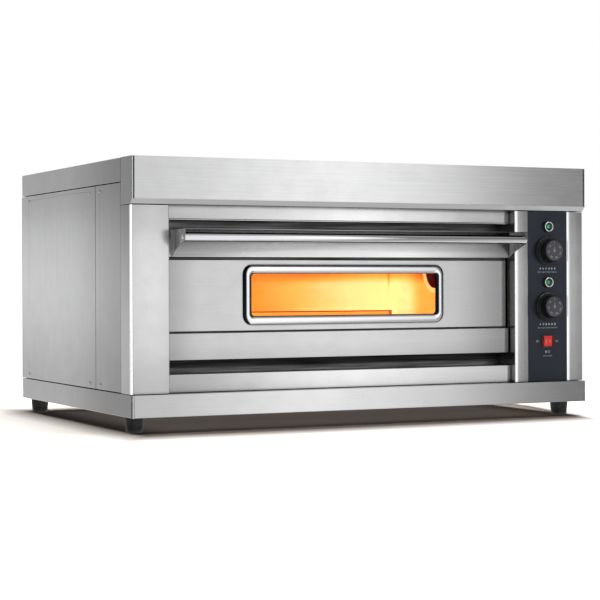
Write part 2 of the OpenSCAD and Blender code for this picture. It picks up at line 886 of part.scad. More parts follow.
module contactor() {
    x = bay_x0;
    color([0.2, 0.2, 0.22]) oven_frame() {
        block([x, 260, 150], [x + 1.5, 700, 420]);
        block([x + 1.5, 330, 250], [x + 60, 405, 330]);
        block([x + 1.5, 336, 262], [x + 76, 399, 318]);
        for (i = [0:2]) rod_x(x + 60, x + 63, 347 + i * 20, 256, 4);
    }
}

module terminal_block() {
    x = bay_x0 + 1.6;
    color([0.85, 0.84, 0.8]) oven_frame() for (i = [0:4]) difference() {
        block([x, 600, 170 + i * 18], [x + 30, 640, 186 + i * 18]);
        rod_x(x + 20, x + 31, 610, 178 + i * 18, 4);
        rod_x(x + 20, x + 31, 630, 178 + i * 18, 4);
    }
}

gland_bore_r = 8;

module cable_gland() {
    inner_y = body_d - 15;
    color([0.08, 0.08, 0.08]) oven_frame() difference() {
        union() {
            rod_y(inner_y, body_d + 6, gland_x, gland_z, gland_thread_r);
            translate([gland_x, body_d + 8, gland_z]) rotate([90, 0, 0]) cylinder(r = 16, h = 8, $fn = 6);
            rod_y(body_d + 8, body_d + gland_reach, gland_x, gland_z, 13);
            translate([gland_x, body_d - sheet - 0.2, gland_z]) rotate([90, 0, 0])
                cylinder(r = 16, h = 5, $fn = 6);
        }
        rod_y(inner_y - 1, body_d + gland_reach + 1, gland_x, gland_z, gland_bore_r);
    }
}

base_plinth();
bottom_cover();
feet();
foot_bolts();
rear_uprights();
chamber_supports();
header_fascia();
top_cover();
left_post();
right_inner_post();
right_outer_post();
left_front_side_panel();
left_rear_side_panel();
right_front_side_panel();
right_rear_side_panel();
back_panel();
panel_screws();
lintel_panel();
sill_panel();
mouth_frame();
mouth_gasket();
oven_chamber();
chamber_insulation();
hearth_plate();
hearth_rails();
upper_heating_elements();
lower_heating_elements();
element_clips();
lamp_ring();
lamp_glass();
lamp_housing();
lamp_bulb();
hinge_brackets();
hinge_bushes();
door_hood();
door_window_panel();
door_lower_panel();
door_core_plate();
door_liner();
door_insulation();
window_tunnel();
outer_glass();
inner_glass();
window_bezel();
handle_tube();
handle_ends();
hinge_pins();
control_panel();
upper_thermostat();
lower_thermostat();
upper_knob();
lower_knob();
upper_knob_shaft();
lower_knob_shaft();
pilot_lamps();
switch_housing();
switch_rocker();
contactor();
terminal_block();
cable_gland();
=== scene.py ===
"""The look of a single-deck electric deck oven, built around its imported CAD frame.

Metres, X left to right, Y front to back, Z up. Sizes named *_MM or passed to the builders are
millimetres, because sheet-metal detail is easier to read that way.
"""
import json
import math

import bmesh
import bpy
from mathutils import Matrix, Vector


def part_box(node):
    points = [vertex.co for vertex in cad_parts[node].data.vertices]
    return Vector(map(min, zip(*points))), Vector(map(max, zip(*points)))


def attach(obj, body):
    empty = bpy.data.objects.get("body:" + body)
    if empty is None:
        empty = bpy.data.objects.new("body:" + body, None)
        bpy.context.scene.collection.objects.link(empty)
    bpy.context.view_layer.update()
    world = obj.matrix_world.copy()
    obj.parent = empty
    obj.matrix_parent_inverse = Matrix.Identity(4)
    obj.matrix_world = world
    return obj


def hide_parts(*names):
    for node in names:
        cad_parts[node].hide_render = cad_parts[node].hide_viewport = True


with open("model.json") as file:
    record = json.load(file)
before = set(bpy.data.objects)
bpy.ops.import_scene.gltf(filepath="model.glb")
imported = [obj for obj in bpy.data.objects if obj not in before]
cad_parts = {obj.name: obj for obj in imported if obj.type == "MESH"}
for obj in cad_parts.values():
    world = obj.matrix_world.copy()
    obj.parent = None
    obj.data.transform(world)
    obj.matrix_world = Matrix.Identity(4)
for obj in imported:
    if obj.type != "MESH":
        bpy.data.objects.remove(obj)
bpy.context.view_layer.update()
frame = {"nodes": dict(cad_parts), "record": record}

MM = 0.001
NODES = frame["nodes"]
BODY = {n: b for b, names in frame["record"]["behaviour"]["bodies"].items() for n in names}


# ---------------------------------------------------------------- node materials

def add_node(tree, kind, inputs=None, **settings):
    """A new shader node; an input is fed by another node's output or set to a value."""
    node = tree.nodes.new("ShaderNode" + kind)
    for key, value in settings.items():
        setattr(node, key, value)
    for key, value in (inputs or {}).items():
        feed(tree, node.inputs[key], value)
    return node


def feed(tree, socket, value):
    if isinstance(value, bpy.types.NodeSocket):
        tree.links.new(value, socket)
    else:
        socket.default_value = value


def fill_ramp(node, stops):
    """Sets a colour ramp's (place, red-green-blue) stops and gives its colour output."""
    elements = node.color_ramp.elements
    while len(elements) < len(stops):
        elements.new(0.5)
    for element, (place, rgb) in zip(elements, stops):
        element.position = place
        element.color = (*rgb, 1.0)
    return node.outputs["Color"]


class Shader:
    """One node material, with short calls to add and join its nodes."""

    def __init__(self, name):
        self.material = bpy.data.materials.new(name)
        self.material.use_nodes = True
        self.tree = self.material.node_tree
        self.surface = self.tree.nodes["Principled BSDF"]
        self.place = self.add("TexCoord").outputs["Object"]
        self.normal = self.add("NewGeometry").outputs["Normal"]

    def add(self, kind, inputs=None, **settings):
        return add_node(self.tree, kind, inputs, **settings)

    def set(self, **values):
        """Sets the surface's inputs; an underscore stands for a space."""
        for key, value in values.items():
            feed(self.tree, self.surface.inputs[key.replace("_", " ")], value)
        return self.material

    def math(self, operation, a, b=0.0, clamp=False):
        return self.add("Math", {0: a, 1: b}, operation=operation, use_clamp=clamp).outputs[0]

    def times(self, a, b):
        return self.math("MULTIPLY", a, b)

    def plus(self, a, b):
        return self.math("ADD", a, b)

    def minus(self, a, b):
        return self.math("SUBTRACT", a, b)

    def largest(self, a, b):
        return self.math("MAXIMUM", a, b)

    def unsigned(self, value):
        return self.math("ABSOLUTE", value)

    def stretch(self, scale):
        """Object coordinates times a scale given per axis, in cycles per metre."""
        return self.add("Mapping", {"Vector": self.place, "Scale": scale}).outputs[0]

    def noise(self, scale, detail=3.0, rough=0.55, seed=0.0):
        """Noise from 0 to 1; scale is one number or one per axis, in cycles per metre."""
        each = scale if isinstance(scale, tuple) else (scale, scale, scale)
        node = self.add("TexNoise", {"Vector": self.stretch(each), "W": seed, "Scale": 1.0,
                                     "Detail": detail, "Roughness": rough}, noise_dimensions="4D")
        return node.outputs["Fac"]

    def remap(self, value, low, high, to_low=0.0, to_high=1.0, soft=False):
        kind = "SMOOTHSTEP" if soft else "LINEAR"
        node = self.add("MapRange", {"Value": value, "From Min": low, "From Max": high,
                                     "To Min": to_low, "To Max": to_high}, interpolation_type=kind)
        return node.outputs["Result"]

    def tones(self, value, *stops):
        """A colour ramp of (place, colour) stops."""
        return fill_ramp(self.add("ValToRGB", {"Fac": value}), stops)

    def mix(self, amount, a, b, blend="MIX"):
        """Blends colours; a plain number stands for a grey."""
        pair = [(v, v, v, 1.0) if isinstance(v, float) else v for v in (a, b)]
        return self.add("MixRGB", {0: amount, 1: pair[0], 2: pair[1]}, blend_type=blend).outputs[0]

    def tinted(self, colour, *factors):
        """A colour times each factor."""
        for factor in factors:
            colour = self.mix(1.0, colour, factor, "MULTIPLY")
        return colour

    def creases(self, reach_mm, darkest):
        """Painted shade: a factor that falls towards darkest in gaps and corners narrower than the reach.
        """
        node = self.add("AmbientOcclusion", {"Distance": reach_mm * MM}, samples=8)
        return self.remap(node.outputs["AO"], 0.25, 0.85, darkest, 1.0)

    def bump(self, height, strength, distance_mm):
        node = self.add("Bump", {"Height": height, "Strength": strength,
                                 "Distance": distance_mm * MM})
        return node.outputs["Normal"]

    def axes(self, vector=None):
        return self.add("SeparateXYZ", {"Vector": vector or self.place}).outputs


AXES = {"x": 0, "y": 1, "z": 2}


def product(s, *factors):
    """Shader values multiplied together."""
    total = factors[0]
    for factor in factors[1:]:
        total = s.times(total, factor)
    return total


def sheen(s, axis, rise, fall, tones):
    """A painted band of light, or of shade when its middle tone is low: a tone that rises smoothly
    over one span of an axis and falls over a later one, in metres.

    tones holds its level before the rise, between the two, and after the fall."""
    place = s.axes()[AXES[axis]]
    before, between, after = tones
    up = s.remap(place, *rise, before, between, soft=True)
    return s.times(up, s.remap(place, *fall, 1.0, after / between, soft=True))


def on_sides(s, tone):
    """Painted shade that only the left and right faces take."""
    across = s.unsigned(s.axes(s.normal)[0])
    change = s.times(s.remap(across, 0.5, 0.8), s.minus(tone, 1.0))
    return s.plus(change, 1.0)


def header_shade(s):
    """Painted light and shade: one broad painted sheen over the front, as a bright wall ahead gives
    it, and painted shade on the left and right faces.
    """
    return product(s, sheen(s, "x", (-0.61, 0.08), (0.08, 0.61), (0.73, 1.19, 0.77)), on_sides(s, 0.7))


# Painted sheen over the plinth's front, and painted shade on its ends, lighter towards the back.
def plinth_shade(s):
    back = s.remap(s.axes()[1], -0.3, 0.15, 0.46, 0.88, soft=True)
    return product(s, sheen(s, "x", (-0.61, -0.08), (0.16, 0.61), (0.64, 1.06, 0.57)), on_sides(s, back))


def door_shade(s):
    """A painted sheen right of the middle; painted shade darkens the panels beside the left post and
    along their foot.
    """
    x, _, z = s.axes()[:3]
    return product(s, sheen(s, "x", (-0.5, 0.12), (0.24, 0.41), (0.72, 1.0, 0.64)),
                   s.remap(x, -0.5, -0.42, 0.74, 1.0, soft=True), s.remap(z, 0.165, 0.2, 0.86, 1.0))


# Painted sheen near the middle of the lintel and a painted highlight at its right end.
def lintel_shade(s):
    right_end = s.remap(s.axes()[0], 0.28, 0.4, 1.0, 1.45, soft=True)
    return product(s, sheen(s, "x", (-0.5, -0.05), (-0.05, 0.18), (0.93, 1.32, 1.04)), right_end)


# Painted sheen over the sill, brightest right of the middle.
def sill_shade(s):
    return sheen(s, "x", (-0.52, 0.02), (0.12, 0.35), (0.54, 1.27, 1.21))


def hood_shade(s):
    """Painted light and shade: a broad painted sheen across the hood, painted shade near the handle,
    where the hood mirrors the floor, and painted light at its lower edge.
    """
    z = s.axes()[2]
    return product(s, sheen(s, "x", (-0.55, -0.15), (-0.05, 0.55), (0.85, 1.92, 0.03)),
                   s.remap(z, 0.408, 0.418, 0.94, 0.74), s.remap(z, 0.429, 0.447, 1.0, 0.43))


def post_shade(s):
    """Painted light and shade: the left post lightens to the right, the two right posts are darker,
    and all are lighter at mid height.
    """
    x = s.axes()[0]
    return product(s, s.remap(x, -0.61, -0.52, 0.92, 1.12), s.remap(x, 0.2, 0.4, 1.0, 0.73),
                   s.remap(x, 0.57, 0.59, 1.0, 1.16),
                   sheen(s, "z", (-0.05, 0.3), (0.36, 0.54), (0.55, 1.0, 0.7)))


# Painted light and shade on the side sheets: darker at the front, lightest a little above mid height.
def side_shade(s):
    return product(s, s.remap(s.axes()[1], -0.36, 0.1, 0.62, 1.04, soft=True),
                   sheen(s, "z", (0.06, 0.38), (0.42, 0.58), (0.62, 1.38, 0.95)))


def slope_forward(s):
    """Faces that slope forward and down, which take a painted reflection of the pale table."""
    z = s.axes(s.normal)[2]
    return s.times(s.remap(z, -0.6, -0.68, soft=True), s.remap(z, -0.82, -0.76, soft=True))


def fold_on_left(s):
    """Upright folds turned to the front left, which take a painted highlight, as a bright wall there
    would give.
    """
    x, y = s.axes(s.normal)[:2]
    return s.times(s.remap(x, -0.2, -0.5, soft=True), s.remap(y, -0.1, -0.4, soft=True))


def end_faces(s):
    """Left and right end faces, with faint streaks, which take painted light, as the posts beside them
    would throw back.
    """
    ends = s.remap(s.unsigned(s.axes(s.normal)[0]), 0.7, 0.9, soft=True)
    streaks = s.noise((40.0, 60.0, 9.0), 3.0, 0.6, seed=5.0)
    return s.times(ends, s.remap(streaks, 0.35, 0.65, 0.5, 1.3))


def brushed_lines(s, grain):
    """Fine and coarse brush marks along the grain, together, from 0 to 1."""
    fine = s.noise(tuple(9.0 if axis == grain else 1500.0 for axis in AXES), 2.0, 0.6)
    coarse = s.noise(tuple(3.5 if axis == grain else 300.0 for axis in AXES), 3.0, 0.6, seed=3.0)
    return s.plus(s.times(fine, 0.5), s.times(coarse, 0.5))


def brushed_tangent(s, grain):
    """The direction that stretches highlights across the brush marks."""
    if grain == "z":
        upright = (0.0, 0.03, 1.0)
        return s.add("VectorMath", {0: s.normal, 1: upright}, operation="CROSS_PRODUCT").outputs[0]
    return s.add("CombineXYZ", {0: 0.0, 1: 0.03, 2: 1.0}).outputs[0]


def brushed_steel(name, grain, tone=0.66, roughness=0.25, anisotropy=0.6, shade_of=None, fold_highlight=0.35,
                  darkest=0.04, wide=0.72, contrast=1.0, glow=None):
    """Satin stainless sheet; grain is the axis along which it was brushed.

    shade_of gives painted light and shade, a slow change of tone over the cabinet, and the fold
    highlight share lightens the folds with a painted highlight and makes them smoother. darkest is the
    tone of the painted shade in narrow gaps, and wide its tone in broad ones. Faces that look straight
    down take painted shade. glow is (light, where, share): faces picked by where send out painted
    light, and lose that share of their own reflection."""
    s = Shader(name)
    lines = brushed_lines(s, grain)
    cloud = s.noise(5.5, 3.0, 0.5, seed=7.0)
    smudge = s.noise((19.0, 19.0, 26.0), 4.0, 0.6, seed=11.0)
    shade = s.plus(s.times(lines, 0.85), s.times(cloud, 0.15))
    colour = s.tones(shade, (0.3, tuple(tone * (1.0 - contrast * v) for v in (0.07, 0.067, 0.06))),
                     (0.7, tuple(tone * (1.0 + contrast * v) for v in (0.05, 0.05, 0.045))))
    sides = [s.unsigned(side) for side in s.axes(s.normal)[:3]]
    flat = s.largest(s.largest(sides[0], sides[1]), sides[2])
    # The folds take a painted highlight and a lower roughness.
    fold = s.remap(flat, 0.99, 0.9, 0.0, fold_highlight)
    colour = s.mix(fold, colour, 0.82)
    # Faces that look straight down take painted shade.
    underside_shade = s.remap(s.axes(s.normal)[2], -0.9, -0.98, 1.0, 0.16)
    # Painted light and shade: the slow tone change, and painted shade in narrow and broad gaps and under
    # downward faces.
    shades = [shade_of(s)] if shade_of else []
    colour = s.tinted(colour, *shades, s.creases(10.0, darkest), s.creases(70.0, wide), underside_shade)
    rough = s.plus(s.remap(smudge, 0.35, 0.75, -0.02, 0.035),
                   s.remap(lines, 0.3, 0.7, roughness - 0.02, roughness + 0.02))
    rough = s.minus(rough, s.times(fold, 0.12))
    # Painted light: faces the glow mask picks send out light and lose some of their reflection.
    if glow:
        light, where, share = glow
        lit = where(s)
        colour = s.mix(s.times(lit, share), colour, 0.0)
        s.set(Emission_Color=s.tones(shade, (0.3, (light * 0.92,) * 3), (0.7, (light * 1.04,) * 3)),
              Emission_Strength=lit)
    return s.set(Base_Color=colour, Metallic=1.0, Roughness=rough, Anisotropic=anisotropy,
                 Tangent=brushed_tangent(s, grain), Normal=s.bump(lines, 0.08, 0.05))


def polished_chrome(name="chrome", tone=0.86, roughness=0.07, dark_axis=None, dark_from=0.2,
                    dark_to=0.3):
    """Polished steel; slopes that turn towards dark_axis take a painted dark reflection of the dark
    flats beside the oven.
    """
    s = Shader(name)
    haze = s.noise(60.0, 4.0, 0.6)
    scratch = s.noise((900.0, 60.0, 900.0), 2.0, 0.5, seed=2.0)
    colour = s.tones(haze, (0.3, (tone * 0.96, tone * 0.97, tone)), (0.7, (tone, tone, tone * 1.02)))
    rough = s.plus(s.remap(haze, 0.3, 0.7, roughness - 0.02, roughness + 0.03),
                   s.remap(scratch, 0.6, 0.8, 0.0, 0.04))
    if dark_axis:
        sides = s.axes(s.normal)
        towards = s.unsigned(sides[AXES[dark_axis]])
        dark = s.remap(towards, dark_from, dark_to, soft=True)
        # Painted reflection: near black on the slopes turned towards that axis.
        colour = s.mix(dark, colour, (0.018, 0.030, 0.033, 1.0))
        if dark_axis == "x":
            rough = s.plus(rough, s.remap(s.unsigned(sides[2]), 0.2, 0.7, 0.0, 0.3))
    return s.set(Base_Color=colour, Metallic=1.0, Roughness=rough,
                 Normal=s.bump(scratch, 0.04, 0.05))


def galvanised(tone=0.5):
    """Zinc-coated sheet with its patchy spangle."""
    s = Shader("galvanised")
    spangle = s.add("TexVoronoi", {"Vector": s.stretch((90.0, 90.0, 90.0)), "Scale": 1.0})
    patch = s.axes(spangle.outputs["Color"])[0]
    cloud = s.noise(14.0, 4.0, 0.6)
    mixed = s.plus(s.times(patch, 0.6), s.times(cloud, 0.4))
    dark = (tone * 0.8, tone * 0.82, tone * 0.84)
    colour = s.tones(mixed, (0.1, dark), (0.9, (tone, tone, tone * 1.02)))
    return s.set(Base_Color=colour, Metallic=0.9, Roughness=s.remap(mixed, 0.0, 1.0, 0.5, 0.36),
                 Normal=s.bump(cloud, 0.1, 0.2))


def plain_metal(name, colour, roughness, dirt=0.25):
    """Small turned or plated parts: a metal tone with fine marks and darker dirt in patches."""
    s = Shader(name)
    cloud = s.noise(160.0, 4.0, 0.6)
    fine = s.noise(1300.0, 2.0, 0.5, seed=4.0)
    dark = tuple(v * (1.0 - dirt) for v in colour)
    tone = s.tones(cloud, (0.3, dark), (0.6, colour))
    return s.set(Base_Color=tone, Metallic=1.0, Normal=s.bump(fine, 0.15, 0.05),
                 Roughness=s.remap(cloud, 0.3, 0.7, roughness + 0.08, roughness - 0.04))


def sooted():
    """Steel around the chamber mouth in a patchy dark tone that is largely painted shade, with painted
    shade in its gaps and corners and a painted shadow, nearly black, under the door.
    """
    s = Shader("mouth_plate_dark_shaded")
    cloud = s.noise((5.0, 20.0, 160.0), 4.0, 0.6)
    # A patchy dark tone; its darkness is painted shade.
    dark_tone = s.tones(cloud, (0.35, (0.07, 0.07, 0.072)), (0.72, (0.30, 0.30, 0.305)))
    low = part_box("mouth_frame")[0].z
    z = s.axes()[2]
    # Painted shadow: nearly black in the slot under the door, and lighter below it.
    lower = s.plus(s.remap(z, low + 0.043, low + 0.058, 1.5, 0.12, soft=True),
                   s.remap(z, low + 0.075, low + 0.10, 0.0, 0.9))
    dark_tone = s.tinted(dark_tone, lower)
    return s.set(Base_Color=s.tinted(dark_tone, s.creases(20.0, 0.3)), Metallic=0.9,
                 Roughness=s.remap(cloud, 0.3, 0.7, 0.5, 0.35), Normal=s.bump(cloud, 0.1, 0.2))


def moulded(name, colour, roughness, grain=500.0, depth=0.12, coat=0.0, shine=0.5):
    """Plastic, bakelite or rubber: a fine moulded grain and a slight change of colour."""
    s = Shader(name)
    cloud = s.noise(35.0, 4.0, 0.6)
    fine = s.noise(grain, 3.0, 0.6, seed=5.0)
    light = tuple(min(1.0, v * 1.35 + 0.002) for v in colour)
    tone = s.tones(s.times(s.plus(cloud, fine), 0.5), (0.3, colour), (0.75, light))
    return s.set(Base_Color=tone, Roughness=s.remap(cloud, 0.3, 0.7, roughness - 0.05, roughness + 0.07),
                 Coat_Weight=coat, Specular_IOR_Level=shine, Normal=s.bump(fine, depth, 0.08))


def fibre(name, dark, light, scale, depth):
    """Mineral wool and woven rope: matted fibres."""
    s = Shader(name)
    strands = s.noise((scale, scale * 0.25, scale * 1.6), 6.0, 0.7)
    clumps = s.noise(scale * 0.12, 4.0, 0.6, seed=6.0)
    both = s.plus(s.times(strands, 0.6), s.times(clumps, 0.4))
    return s.set(Base_Color=s.tones(both, (0.32, dark), (0.68, light)), Roughness=0.95,
                 Sheen_Weight=0.2, Normal=s.bump(both, 0.9, depth))


def clear_glass():
    """Heat-resisting glass, thin and faintly smoked, with a patchy film of dust."""
    s = Shader("oven_glass")
    facing = s.add("Fresnel", {"IOR": 1.45}).outputs[0]
    dust = s.noise(30.0, 5.0, 0.65)
    film = s.remap(dust, 0.5, 0.8, 0.0, 0.03)
    return s.set(Base_Color=s.tones(dust, (0.4, (0.02, 0.016, 0.012)), (0.8, (0.10, 0.08, 0.06))),
                 Roughness=0.04, Alpha=s.plus(s.remap(facing, 0.03, 0.5, 0.05, 0.5), film))


# Glow colours from dull red to pale yellow: the elements' own glow, and the painted lamplight elsewhere.
GLOW_STOPS = ((0.0, (0.36, 0.025, 0.002)), (0.25, (0.82, 0.14, 0.004)), (0.5, (0.95, 0.33, 0.03)),
             (0.72, (0.95, 0.54, 0.10)), (1.0, (0.97, 0.87, 0.36)))


def glowing(name, glow_of, strength=1.0, base=(0.35, 0.2, 0.1)):
    """Metal that sends out light: the elements and the bulb glow of their own, while the glow of the
    chamber, hearth and lamp ring is painted light from the elements and the chamber lamp. The glow
    function gives 0 to 1 from the shader.
    """
    s = Shader(name)
    ripple = s.remap(s.noise((9.0, 9.0, 20.0), 4.0, 0.6), 0.3, 0.7, -0.06, 0.06)
    # The glow level: painted lamplight on chamber, hearth and lamp ring, the elements' own glow.
    heat = s.math("ADD", glow_of(s), ripple, clamp=True)
    glow = s.tones(heat, *GLOW_STOPS)
    if callable(strength):
        strength = strength(s)
    return s.set(Base_Color=s.mix(0.5, (*base, 1.0), glow), Metallic=0.3, Roughness=0.5,
                 Emission_Color=glow, Emission_Strength=strength)


def chamber_heat(s):
    """Painted lamplight: palest at the back on the lamp's side, orange under the ceiling and near the
    mouth, dimmer along the back right corner.
    """
    x, y, z = s.axes()[:3]
    low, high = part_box("oven_chamber")
    across = s.remap(x, -0.15, 0.36, 0.4, 1.05, soft=True)
    roof = s.remap(z, high.z - 0.115, high.z - 0.075, 0.0, 0.42, soft=True)
    roof = s.times(roof, s.remap(x, -0.02, 0.14, 0.4, 1.3))
    mouth = s.remap(y, low.y + 0.45, low.y + 0.345, 0.0, 0.42, soft=True)
    corner = s.times(s.remap(x, high.x - 0.007, high.x - 0.003),
                    s.remap(y, high.y - 0.009, high.y - 0.004))
    corner = s.times(corner, s.remap(z, high.z - 0.17, high.z - 0.08, 0.04, 0.3))
    # The level of the painted lamplight.
    heat = s.minus(across, roof)
    return s.minus(s.minus(heat, mouth), corner)


def element_strength(s):
    """The heated length ends at the chamber's back wall; the cold ends behind it stay dark."""
    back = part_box("oven_chamber")[1].y
    return s.remap(s.axes()[1], back - 0.03, back - 0.005, 1.4, 0.0)


def hearth_heat(s):
    """Painted lamplight: a pale front face, dimmer at its right end, with a dark red line along the top
    of the rear upstand.
    """
    x, _, z = s.axes()[:3]
    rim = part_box("hearth_plate")[1]
    end = s.remap(x, rim.x - 0.012, rim.x - 0.008, 0.0, 0.5)
    top = s.remap(z, rim.z - 0.004, rim.z - 0.0025, 0.0, 0.6)
    face = s.remap(x, -0.2, 0.3, 0.62, 0.56)
    return s.minus(face, s.largest(end, top))


def lens(name, dark, light, glow, core=0.08, edge=0.3, shine=0.3):
    """A coloured lamp lens: light at its middle where the lamp behind shows."""
    s = Shader(name)
    facing = s.add("LayerWeight", {"Blend": 0.35}).outputs["Facing"]
    tint = s.tones(facing, (core, light), (edge, dark))
    ribs = s.noise(700.0, 2.0, 0.5)
    return s.set(Base_Color=tint, Roughness=0.16, Coat_Weight=shine, Specular_IOR_Level=shine,
                 Emission_Color=tint, Emission_Strength=glow, Normal=s.bump(ribs, 0.08, 0.1))


def ink(name, colour):
    s = Shader(name)
    tone = s.tones(s.noise(800.0, 3.0, 0.6), (0.3, tuple(v * 0.8 for v in colour)), (0.6, colour))
    return s.set(Base_Color=tone, Roughness=0.55)


M = {
    # Each shade_of function paints light and shade over its sheet.
    "steel_x": brushed_steel("steel_brushed_lengthways", "x", shade_of=door_shade),
    # The header's forward slopes glow with a painted reflection.
    "steel_header": brushed_steel("steel_brushed_header", "x", shade_of=header_shade, contrast=2.0,
                                  glow=(0.42, slope_forward, 0.9)),
    "steel_lintel": brushed_steel("steel_brushed_lintel", "x", shade_of=lintel_shade),
    "steel_sill": brushed_steel("steel_brushed_sill", "x", shade_of=sill_shade),
    "steel_plinth": brushed_steel("steel_brushed_plinth", "x", shade_of=plinth_shade),
    # The hood's end faces glow faintly with painted light.
    "steel_hood": brushed_steel("steel_brushed_hood", "x", shade_of=hood_shade, darkest=0.2,
                                glow=(0.10, end_faces, 0.0)),
    # The posts' left folds glow with a painted highlight.
    "steel_z": brushed_steel("steel_brushed_upright", "z", shade_of=post_shade, wide=0.9,
                             glow=(0.6, fold_on_left, 0.0)),
    "steel_side": brushed_steel("steel_brushed_side", "z", tone=0.62, roughness=0.22, anisotropy=0.5,
                                shade_of=side_shade, fold_highlight=0.05, contrast=2.0),
    "steel_dull": brushed_steel("steel_brushed_dull", "x", tone=0.5, roughness=0.36, anisotropy=0.4),
    "chrome": polished_chrome(),
    # Painted dark reflections: on the handle tube's top and bottom, and on the bezel's left and right
    # sides.
    "tube": polished_chrome("handle_chrome", 0.72, 0.10, "z", 0.74, 0.9),
    "bezel": polished_chrome("bezel_chrome", 0.76, 0.14, "x", 0.14, 0.30),
    "sooted": sooted(),
    "galvanised": galvanised(),
    "zinc": plain_metal("zinc_plate", (0.62, 0.63, 0.64), 0.28),
    "bronze": plain_metal("bush_bronze", (0.55, 0.36, 0.14), 0.35),
    "rubber": moulded("foot_rubber", (0.010, 0.009, 0.008), 0.55, grain=700.0, depth=0.3),
    "bakelite": moulded("knob_bakelite", (0.004, 0.004, 0.005), 0.36, grain=900.0, depth=0.08, shine=0.35),
    "dial_face": moulded("knob_face", (0.018, 0.018, 0.025), 0.45, grain=1500.0, depth=0.25, shine=0.3),
    "plastic": moulded("black_plastic_moulding", (0.008, 0.008, 0.009), 0.42),
    "cream": moulded("cream_plastic_moulding", (0.62, 0.58, 0.47), 0.45),
    "ceramic": moulded("terminal_ceramic", (0.74, 0.71, 0.62), 0.4),
    "red": moulded("rocker_red", (0.60, 0.014, 0.010), 0.3, depth=0.05, coat=0.3),
    "panel": moulded("panel_film", (0.012, 0.0155, 0.023), 0.5, grain=1600.0, depth=0.16, shine=0.12),
    "wool": fibre("mineral_wool_batts", (0.42, 0.36, 0.2), (0.72, 0.64, 0.42), 260.0, 2.0),
    "rope": fibre("gasket_braid", (0.5, 0.48, 0.42), (0.8, 0.78, 0.7), 420.0, 0.8),
    "glass": clear_glass(),
    # Painted lamplight: the chamber and hearth glow as if lit by the elements and lamp.
    "chamber": glowing("chamber_steel_lit", chamber_heat),
    "hearth": glowing("hearth_iron_lit", hearth_heat, base=(0.1, 0.06, 0.04)),
    "hot": glowing("element_glowing", lambda s: s.remap(s.noise(40.0), 0.3, 0.7, 0.25, 0.5),
                   element_strength),
    # Painted light: the lamp ring glows as if lit by its lamp.
    "lamp_rim": glowing("lamp_ring_lit", lambda s: s.remap(s.noise(90.0), 0.3, 0.7, 0.8, 1.0), 0.9),
    "ruby": lens("lamp_cover_glass", (0.05, 0.0, 0.002), (0.10, 0.002, 0.003), 0.5, shine=0.0),
    "green": lens("pilot_green", (0.0, 0.008, 0.004), (0.03, 0.30, 0.15), 0.25, core=0.03, edge=0.16),
    "bulb": glowing("bulb_lit", lambda s: s.remap(s.noise(50.0), 0.3, 0.7, 0.9, 1.0), 4.0),
    "ink": ink("print_light", (0.60, 0.64, 0.68)),
    "ink_dim": ink("print_dim", (0.26, 0.29, 0.32)),
    "ink_gold": ink("rocker_print", (0.70, 0.55, 0.22)),
}


# ---------------------------------------------------------------- mesh helpers

def make(name, bm, material, angle=32.0):
    """Turns a bmesh into a scene object, smooth except at its sharp edges."""
    bmesh.ops.recalc_face_normals(bm, faces=bm.faces)
    mesh = bpy.data.meshes.new(name)
    bm.to_mesh(mesh)
    bm.free()
    mesh.shade_smooth()
    mesh.set_sharp_from_angle(angle=math.radians(angle))
    mesh.materials.append(M[material])
    piece = bpy.data.objects.new(name, mesh)
    bpy.context.scene.collection.objects.link(piece)
    return piece


def stand_in(piece, node):
    """The piece moves with the node's body and is shown in its place."""
    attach(piece, BODY[node])
    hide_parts(node)


def measured(node):
    """A node's low corner, high corner and middle in metres, and its size in millimetres."""
    low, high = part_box(node)
    return low, high, (low + high) / 2, (high - low) / MM


CUT_WIDTH = 2.6 * MM


def folded(node, material, bend=1.8, cut=0.25, sheet=1.2, segments=3):
    """A sheet part with round folds and eased cut edges. Sizes are in millimetres."""
    bm = bmesh.new()
    bm.from_mesh(NODES[node].data)
    bmesh.ops.remove_doubles(bm, verts=bm.verts, dist=0.005 * MM)
    bmesh.ops.dissolve_limit(bm, angle_limit=math.radians(0.6), verts=bm.verts, edges=bm.edges)
    bmesh.ops.connect_verts_concave(bm, faces=bm.faces)
    narrow = set()
    for face in bm.faces:
        if face.calc_area() < CUT_WIDTH * max(e.calc_length() for e in face.edges):
            narrow.add(face)
    weight = bm.edges.layers.float.new("bevel_weight_edge")
    for edge in bm.edges:
        if len(edge.link_faces) != 2 or edge.calc_face_angle() < math.radians(24):
            continue
        if any(face in narrow for face in edge.link_faces):
            edge[weight] = cut / bend
        elif edge.is_convex:
            edge[weight] = 1.0
        else:
            edge[weight] = max(0.3, bend - sheet) / bend
    piece = make(node + "_folded", bm, material)
    ease = piece.modifiers.new("folds", "BEVEL")
    ease.limit_method = "WEIGHT"
    ease.width = bend * MM
    ease.segments = segments
    ease.use_clamp_overlap = False
    ease.harden_normals = True
    stand_in(piece, node)


def keep(node, material, ease_mm=0.0, segments=2):
    """Shows a CAD node as it is, with a material and, if asked, eased edges."""
    node_object = NODES[node]
    node_object.data.materials[0] = M[material]
    if ease_mm:
        node_object.modifiers.new("weld", "WELD").merge_threshold = 0.005 * MM
        merge = node_object.modifiers.new("plane", "DECIMATE")
        merge.decimate_type = "DISSOLVE"
        merge.angle_limit = math.radians(0.6)
        ease = node_object.modifiers.new("ease", "BEVEL")
        ease.limit_method = "ANGLE"
        ease.angle_limit = math.radians(30)
        ease.width = ease_mm * MM
        ease.segments = segments
        ease.harden_normals = True


